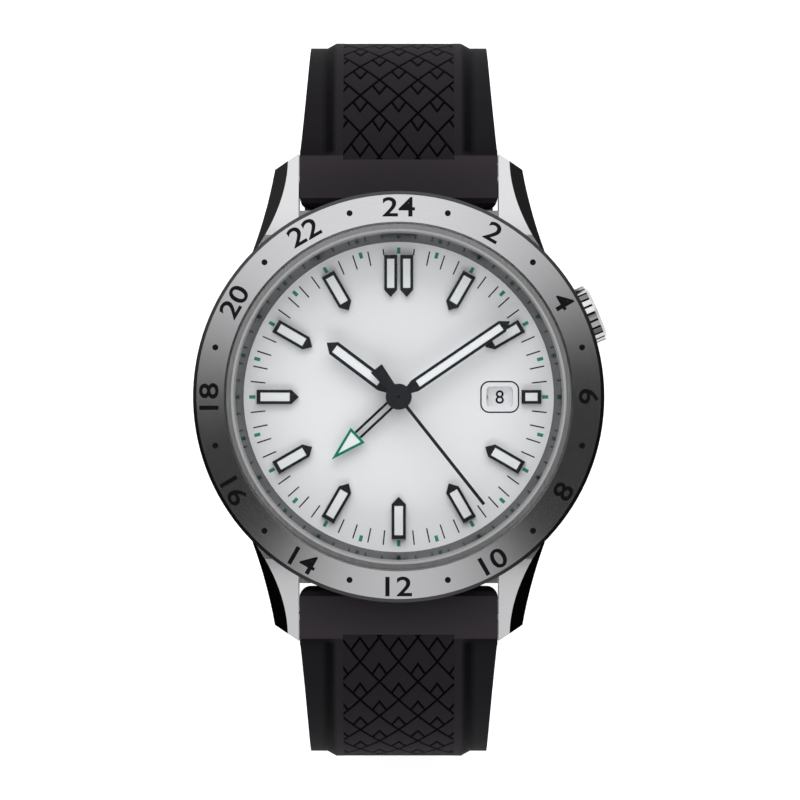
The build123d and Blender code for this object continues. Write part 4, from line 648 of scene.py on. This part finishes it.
rib_radius = 0.014
field_half = 0.0058
field_length = 0.0273
field_depth = 0.00026
field_top_reach = 0.0016
field_angle = math.acos(field_top_reach / rib_radius)
field_lead_share = 0.17
cell_half = 0.00193
row_pitch = 0.00215
first_row = 0.00255
groove_half = 0.0001
pad_depth = 0.00024
pad_bevel = 0.00006
skin_lift = 0.00001
skin_depth = 0.00006
bend_slice = 0.0006
lattice_span = 16
lattice_rows = range(1, 14)
lattice_columns = range(-3, 4)
cut_distance = 1e-9
first_diamond_shares = (0.47, 0.97)
other_diamond_shares = (0.375, 0.9)
face_reach_share = 0.99
face_core_share = 0.9
edge_reach_share = 0.999
edge_core_share = 0.97
slope_slack = 1e-4
tip_slack = 1e-5


def cut_line(solid, faces, point, direction):
    """Cuts the given flat faces along a line through a point."""
    geometry = list({edge for face in faces for edge in face.edges}) + list(faces)
    geometry += list({vert for face in faces for vert in face.verts})
    bmesh.ops.bisect_plane(solid, geom=geometry, dist=cut_distance, plane_co=point,
                           plane_no=Vector((-direction.y, direction.x, 0)))


def lattice_pads():
    """Flat pads of the strap's lattice: x across, y along the strap, rows one unit apart."""
    solid = bmesh.new()
    rows = 1 + (field_length - first_row) / row_pitch
    bmesh.ops.create_grid(solid, x_segments=1, y_segments=1, size=0.5,
                          matrix=Matrix.Translation((0, (rows - field_lead_share) / 2, 0))
                          @ Matrix.Diagonal((2 * field_half / cell_half, rows + field_lead_share, 1, 1)))
    for start in range(-lattice_span, lattice_span + 2, 2):
        for lean in (1, -1):
            cut_line(solid, solid.faces[:], Vector((start + 1, 0, 0)), Vector((lean, 1, 0)))
    return solid


def cut_diamond(solid, column, row):
    """Parts a small diamond from the far corner of one lattice cell."""
    half, height = first_diamond_shares if row == 1 else other_diamond_shares
    for mirror in (1, -1):
        inside = []
        for face in solid.faces:
            middle = face.calc_center_median()
            off_column = abs(middle.x - column)
            in_core = off_column + abs(middle.y - row + 1) < face_core_share
            if off_column < face_reach_share and row - 2 < middle.y < row and in_core:
                inside.append(face)
        cut_line(solid, inside, Vector((column, row - height, 0)), Vector((mirror * half, height - half, 0)))
    loose = []
    for edge in solid.edges:
        middle = (edge.verts[0].co + edge.verts[1].co) / 2
        along = edge.verts[1].co - edge.verts[0].co
        off_column = abs(middle.x - column)
        on_line = abs(abs(along.x) * (height - half) - abs(along.y) * half) < slope_slack
        in_core = off_column + abs(middle.y - row + 1) < edge_core_share
        in_cell = off_column < edge_reach_share and in_core
        past_diamond = middle.y < row - height - tip_slack or off_column > half + slope_slack
        if len(edge.link_faces) == 2 and on_line and in_cell and past_diamond:
            loose.append(edge)
    if loose:
        bmesh.ops.dissolve_edges(solid, edges=loose, use_verts=True)


def bend_on_rib(solid, side, node):
    """Lays a flat mesh on the sunk field of a strap's rib, round its bend and down the straight run."""
    for slice_count in range(int(field_length / bend_slice)):
        bmesh.ops.bisect_plane(solid, geom=solid.verts[:] + solid.edges[:] + solid.faces[:], dist=cut_distance,
                               plane_co=(0, slice_count * bend_slice, 0), plane_no=(0, 1, 0))
    low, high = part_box(node)
    turn_reach = max(abs(low.y), abs(high.y)) - rib_radius
    turn_height = high.z - rib_radius
    arc_length = rib_radius * field_angle
    for vert in solid.verts:
        radius = rib_radius - field_depth + vert.co.z
        run = vert.co.y
        angle = max(field_angle - run / rib_radius, 0)
        drop = max(run - arc_length, 0)
        vert.co.y = side * (turn_reach + radius * math.cos(angle))
        vert.co.z = turn_height + radius * math.sin(angle) - drop
    bmesh.ops.recalc_face_normals(solid, faces=solid.faces)


def groove_floor(name, side, node):
    """A thin dark skin of painted shade at the bottom of the grooves, under all the pads."""
    lead = field_lead_share * first_row
    solid = bmesh.new()
    bmesh.ops.create_cube(solid, size=1, matrix=Matrix.Translation((0, (field_length - lead) / 2, skin_lift))
                          @ Matrix.Diagonal((2 * field_half, field_length + lead, skin_depth, 1)))
    bend_on_rib(solid, side, node)
    new_piece(name, solid, node, groove_painted_shade)


def strap_relief(name, side, node):
    """The lattice pads of one strap half, each parted from the next by a groove."""
    solid = lattice_pads()
    for row in lattice_rows:
        for column in lattice_columns:
            if (row + column) % 2:
                cut_diamond(solid, column, row)
    for vert in solid.verts:
        rows = vert.co.y
        vert.co.x *= cell_half
        vert.co.y = rows * first_row if rows < 1 else first_row + (rows - 1) * row_pitch
    grooves = bmesh.ops.inset_individual(solid, faces=solid.faces[:], thickness=groove_half,
                                         use_even_offset=True)
    bmesh.ops.delete(solid, geom=grooves["faces"], context="FACES")
    thicken(solid, pad_depth)
    rim = [edge for edge in solid.edges if all(vert.co.z > pad_depth / 2 for vert in edge.verts)]
    bmesh.ops.bevel(solid, geom=rim, offset=pad_bevel, affect="EDGES", segments=1, profile=0.5, material=-1)
    bend_on_rib(solid, side, node)
    new_piece(name, solid, node, pad_rubber)


strap_relief("buckle_strap_pads", 1, "buckle_strap")
strap_relief("tail_strap_pads", -1, "tail_strap")
# Dark skins of painted shade under the lattice grooves.
groove_floor("buckle_strap_grooves", 1, "buckle_strap")
groove_floor("tail_strap_grooves", -1, "tail_strap")

# Buckle: a steel frame and a tongue, bent from flat stock and brushed along the strap.
# Both hang on a spring bar in the end of the buckle half.
buckle_steel, buckle_tree, buckle_shader = bare_material("buckle_steel", (0.74, 0.74, 0.75), 1, 0.28)
buckle_grain = grain_of(buckle_tree, straight_grain, object_place(buckle_tree), fineness=9000)
buckle_tree.links.new(scaled_range(buckle_tree, buckle_grain, low=0.2, high=0.4),
                      buckle_shader.inputs["Roughness"])
buckle_tree.links.new(tinted(buckle_tree, buckle_grain, (0.64, 0.64, 0.65), (0.8, 0.8, 0.81)),
                      buckle_shader.inputs["Base Color"])
bumped(buckle_tree, buckle_shader, buckle_grain, strength=0.15, distance=0.00001)
dress(buckle_steel, "buckle_frame", "buckle_tongue")

# Stage: a pale floor under the strap, which glows a little for the camera and less in metal and glass.
# Soft light comes from the 12 and 6 o'clock sides, with a dim ceiling between.
# The camera looks down on the dial from the photograph's place.
floor_gap = 0.00002
floor_half = 2
floor_camera_glow = 0.58
floor_mirror_glow = 0.15
floor_solid = bmesh.new()
bmesh.ops.create_grid(floor_solid, x_segments=1, y_segments=1, size=floor_half,
                      matrix=Matrix.Translation((0, 0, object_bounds()[0].z - floor_gap)))
floor_mesh = bpy.data.meshes.new("floor")
floor_solid.to_mesh(floor_mesh)
floor_solid.free()
floor = bpy.data.objects.new("floor", floor_mesh)
bpy.context.scene.collection.objects.link(floor)
floor_paint, floor_tree, floor_shader = bare_material("floor_paint", (0.86, 0.86, 0.86), 0, 0.8)
floor_shader.inputs["Emission Color"].default_value = (1, 1, 1, 1)
floor_ray = floor_tree.nodes.new("ShaderNodeLightPath").outputs
floor_mirrored = math_step(floor_tree, "MAXIMUM", floor_ray["Is Glossy Ray"], floor_ray["Is Transmission Ray"])
floor_white = math_step(floor_tree, "MULTIPLY", floor_mirrored, floor_mirror_glow)
floor_glow = math_step(floor_tree, "MULTIPLY_ADD", floor_ray["Is Camera Ray"], floor_camera_glow, floor_white)
floor_tree.links.new(floor_glow, floor_shader.inputs["Emission Strength"])
floor_mesh.materials.append(floor_paint)

world = bpy.data.worlds.new("studio")
bpy.context.scene.world = world
world.use_nodes = True
sky = world.node_tree
towards_12 = (-0.13, 0.992, 0)
towards_6 = (0, -1, 0)


def sky_lobe(towards, start, end, low, high):
    """Light that grows as the level bearing turns towards one side."""
    facing = vector_step(sky, "DOT_PRODUCT", sky_bearing, towards)
    return scaled_range(sky, facing, low, high, start, end, curve="SMOOTHSTEP")


sky_place = sky.nodes.new("ShaderNodeTexCoord").outputs["Generated"]
sky_level = vector_step(sky, "MULTIPLY", sky_place, (1, 1, 0))
sky_bearing = vector_step(sky, "NORMALIZE", sky_level)
sky_sides = math_step(sky, "ADD", sky_lobe(towards_12, start=-0.06, end=1.13, low=0.04, high=1.42),
                      sky_lobe(towards_6, start=0.66, end=1.09, low=0, high=1.1))
dim_ceiling = scaled_range(sky, vector_step(sky, "LENGTH", sky_level), low=0.06, high=1, start=0.06, end=0.13,
                           curve="SMOOTHSTEP")
dim_walls = scaled_range(sky, axis_part(sky, sky_place, "Z"), low=0.3, high=1, start=0.32, end=0.56,
                         curve="SMOOTHSTEP")
sky_light = math_step(sky, "MULTIPLY", sky_sides, math_step(sky, "MULTIPLY", dim_ceiling, dim_walls))
sky_camera = sky.nodes.new("ShaderNodeLightPath").outputs["Is Camera Ray"]
sky_white = 1
sky_strength = add_step(sky, "ShaderNodeMix", {"A": sky_light, "B": sky_white, "Factor": sky_camera}, "Result",
                        data_type="FLOAT")
sky.links.new(sky_strength, sky.nodes["Background"].inputs["Strength"])
sky.nodes["Background"].inputs["Color"].default_value = (1, 1, 1, 1)

lamp_width = 2
lamp_height = 0.5
lamp_out = 0.92
lamp_up = 0.35


def soft_box(name, side, power):
    """A wide lamp that is aimed at the watch and isn't mirrored in it."""
    lamp = bpy.data.lights.new(name, "AREA")
    lamp.shape = "RECTANGLE"
    lamp.size, lamp.size_y = lamp_width, lamp_height
    lamp.energy = power
    holder = bpy.data.objects.new(name, lamp)
    holder.location = (0, side * lamp_out, lamp_up)
    holder.rotation_euler = (-Vector(holder.location)).to_track_quat("-Z", "Y").to_euler()
    holder.visible_glossy = False
    bpy.context.scene.collection.objects.link(holder)


soft_box("light_from_12", 1, power=13.2)
soft_box("light_from_6", -1, power=11.1)

camera_distance = 0.6
camera_tilt = math.radians(1)
camera_aim = Vector((0.00013, -0.0003, dial_top))
camera_data = bpy.data.cameras.new("camera")
camera_data.sensor_width = 36
camera_data.lens = 270
camera_data.clip_start, camera_data.clip_end = 0.01, 10
camera = bpy.data.objects.new("camera", camera_data)
bpy.context.scene.collection.objects.link(camera)
camera.location = camera_aim + camera_distance * Vector((0, -math.sin(camera_tilt), math.cos(camera_tilt)))
camera.rotation_euler = (camera_tilt, 0, 0)
bpy.context.scene.camera = camera

bpy.context.scene.view_settings.view_transform = "Standard"
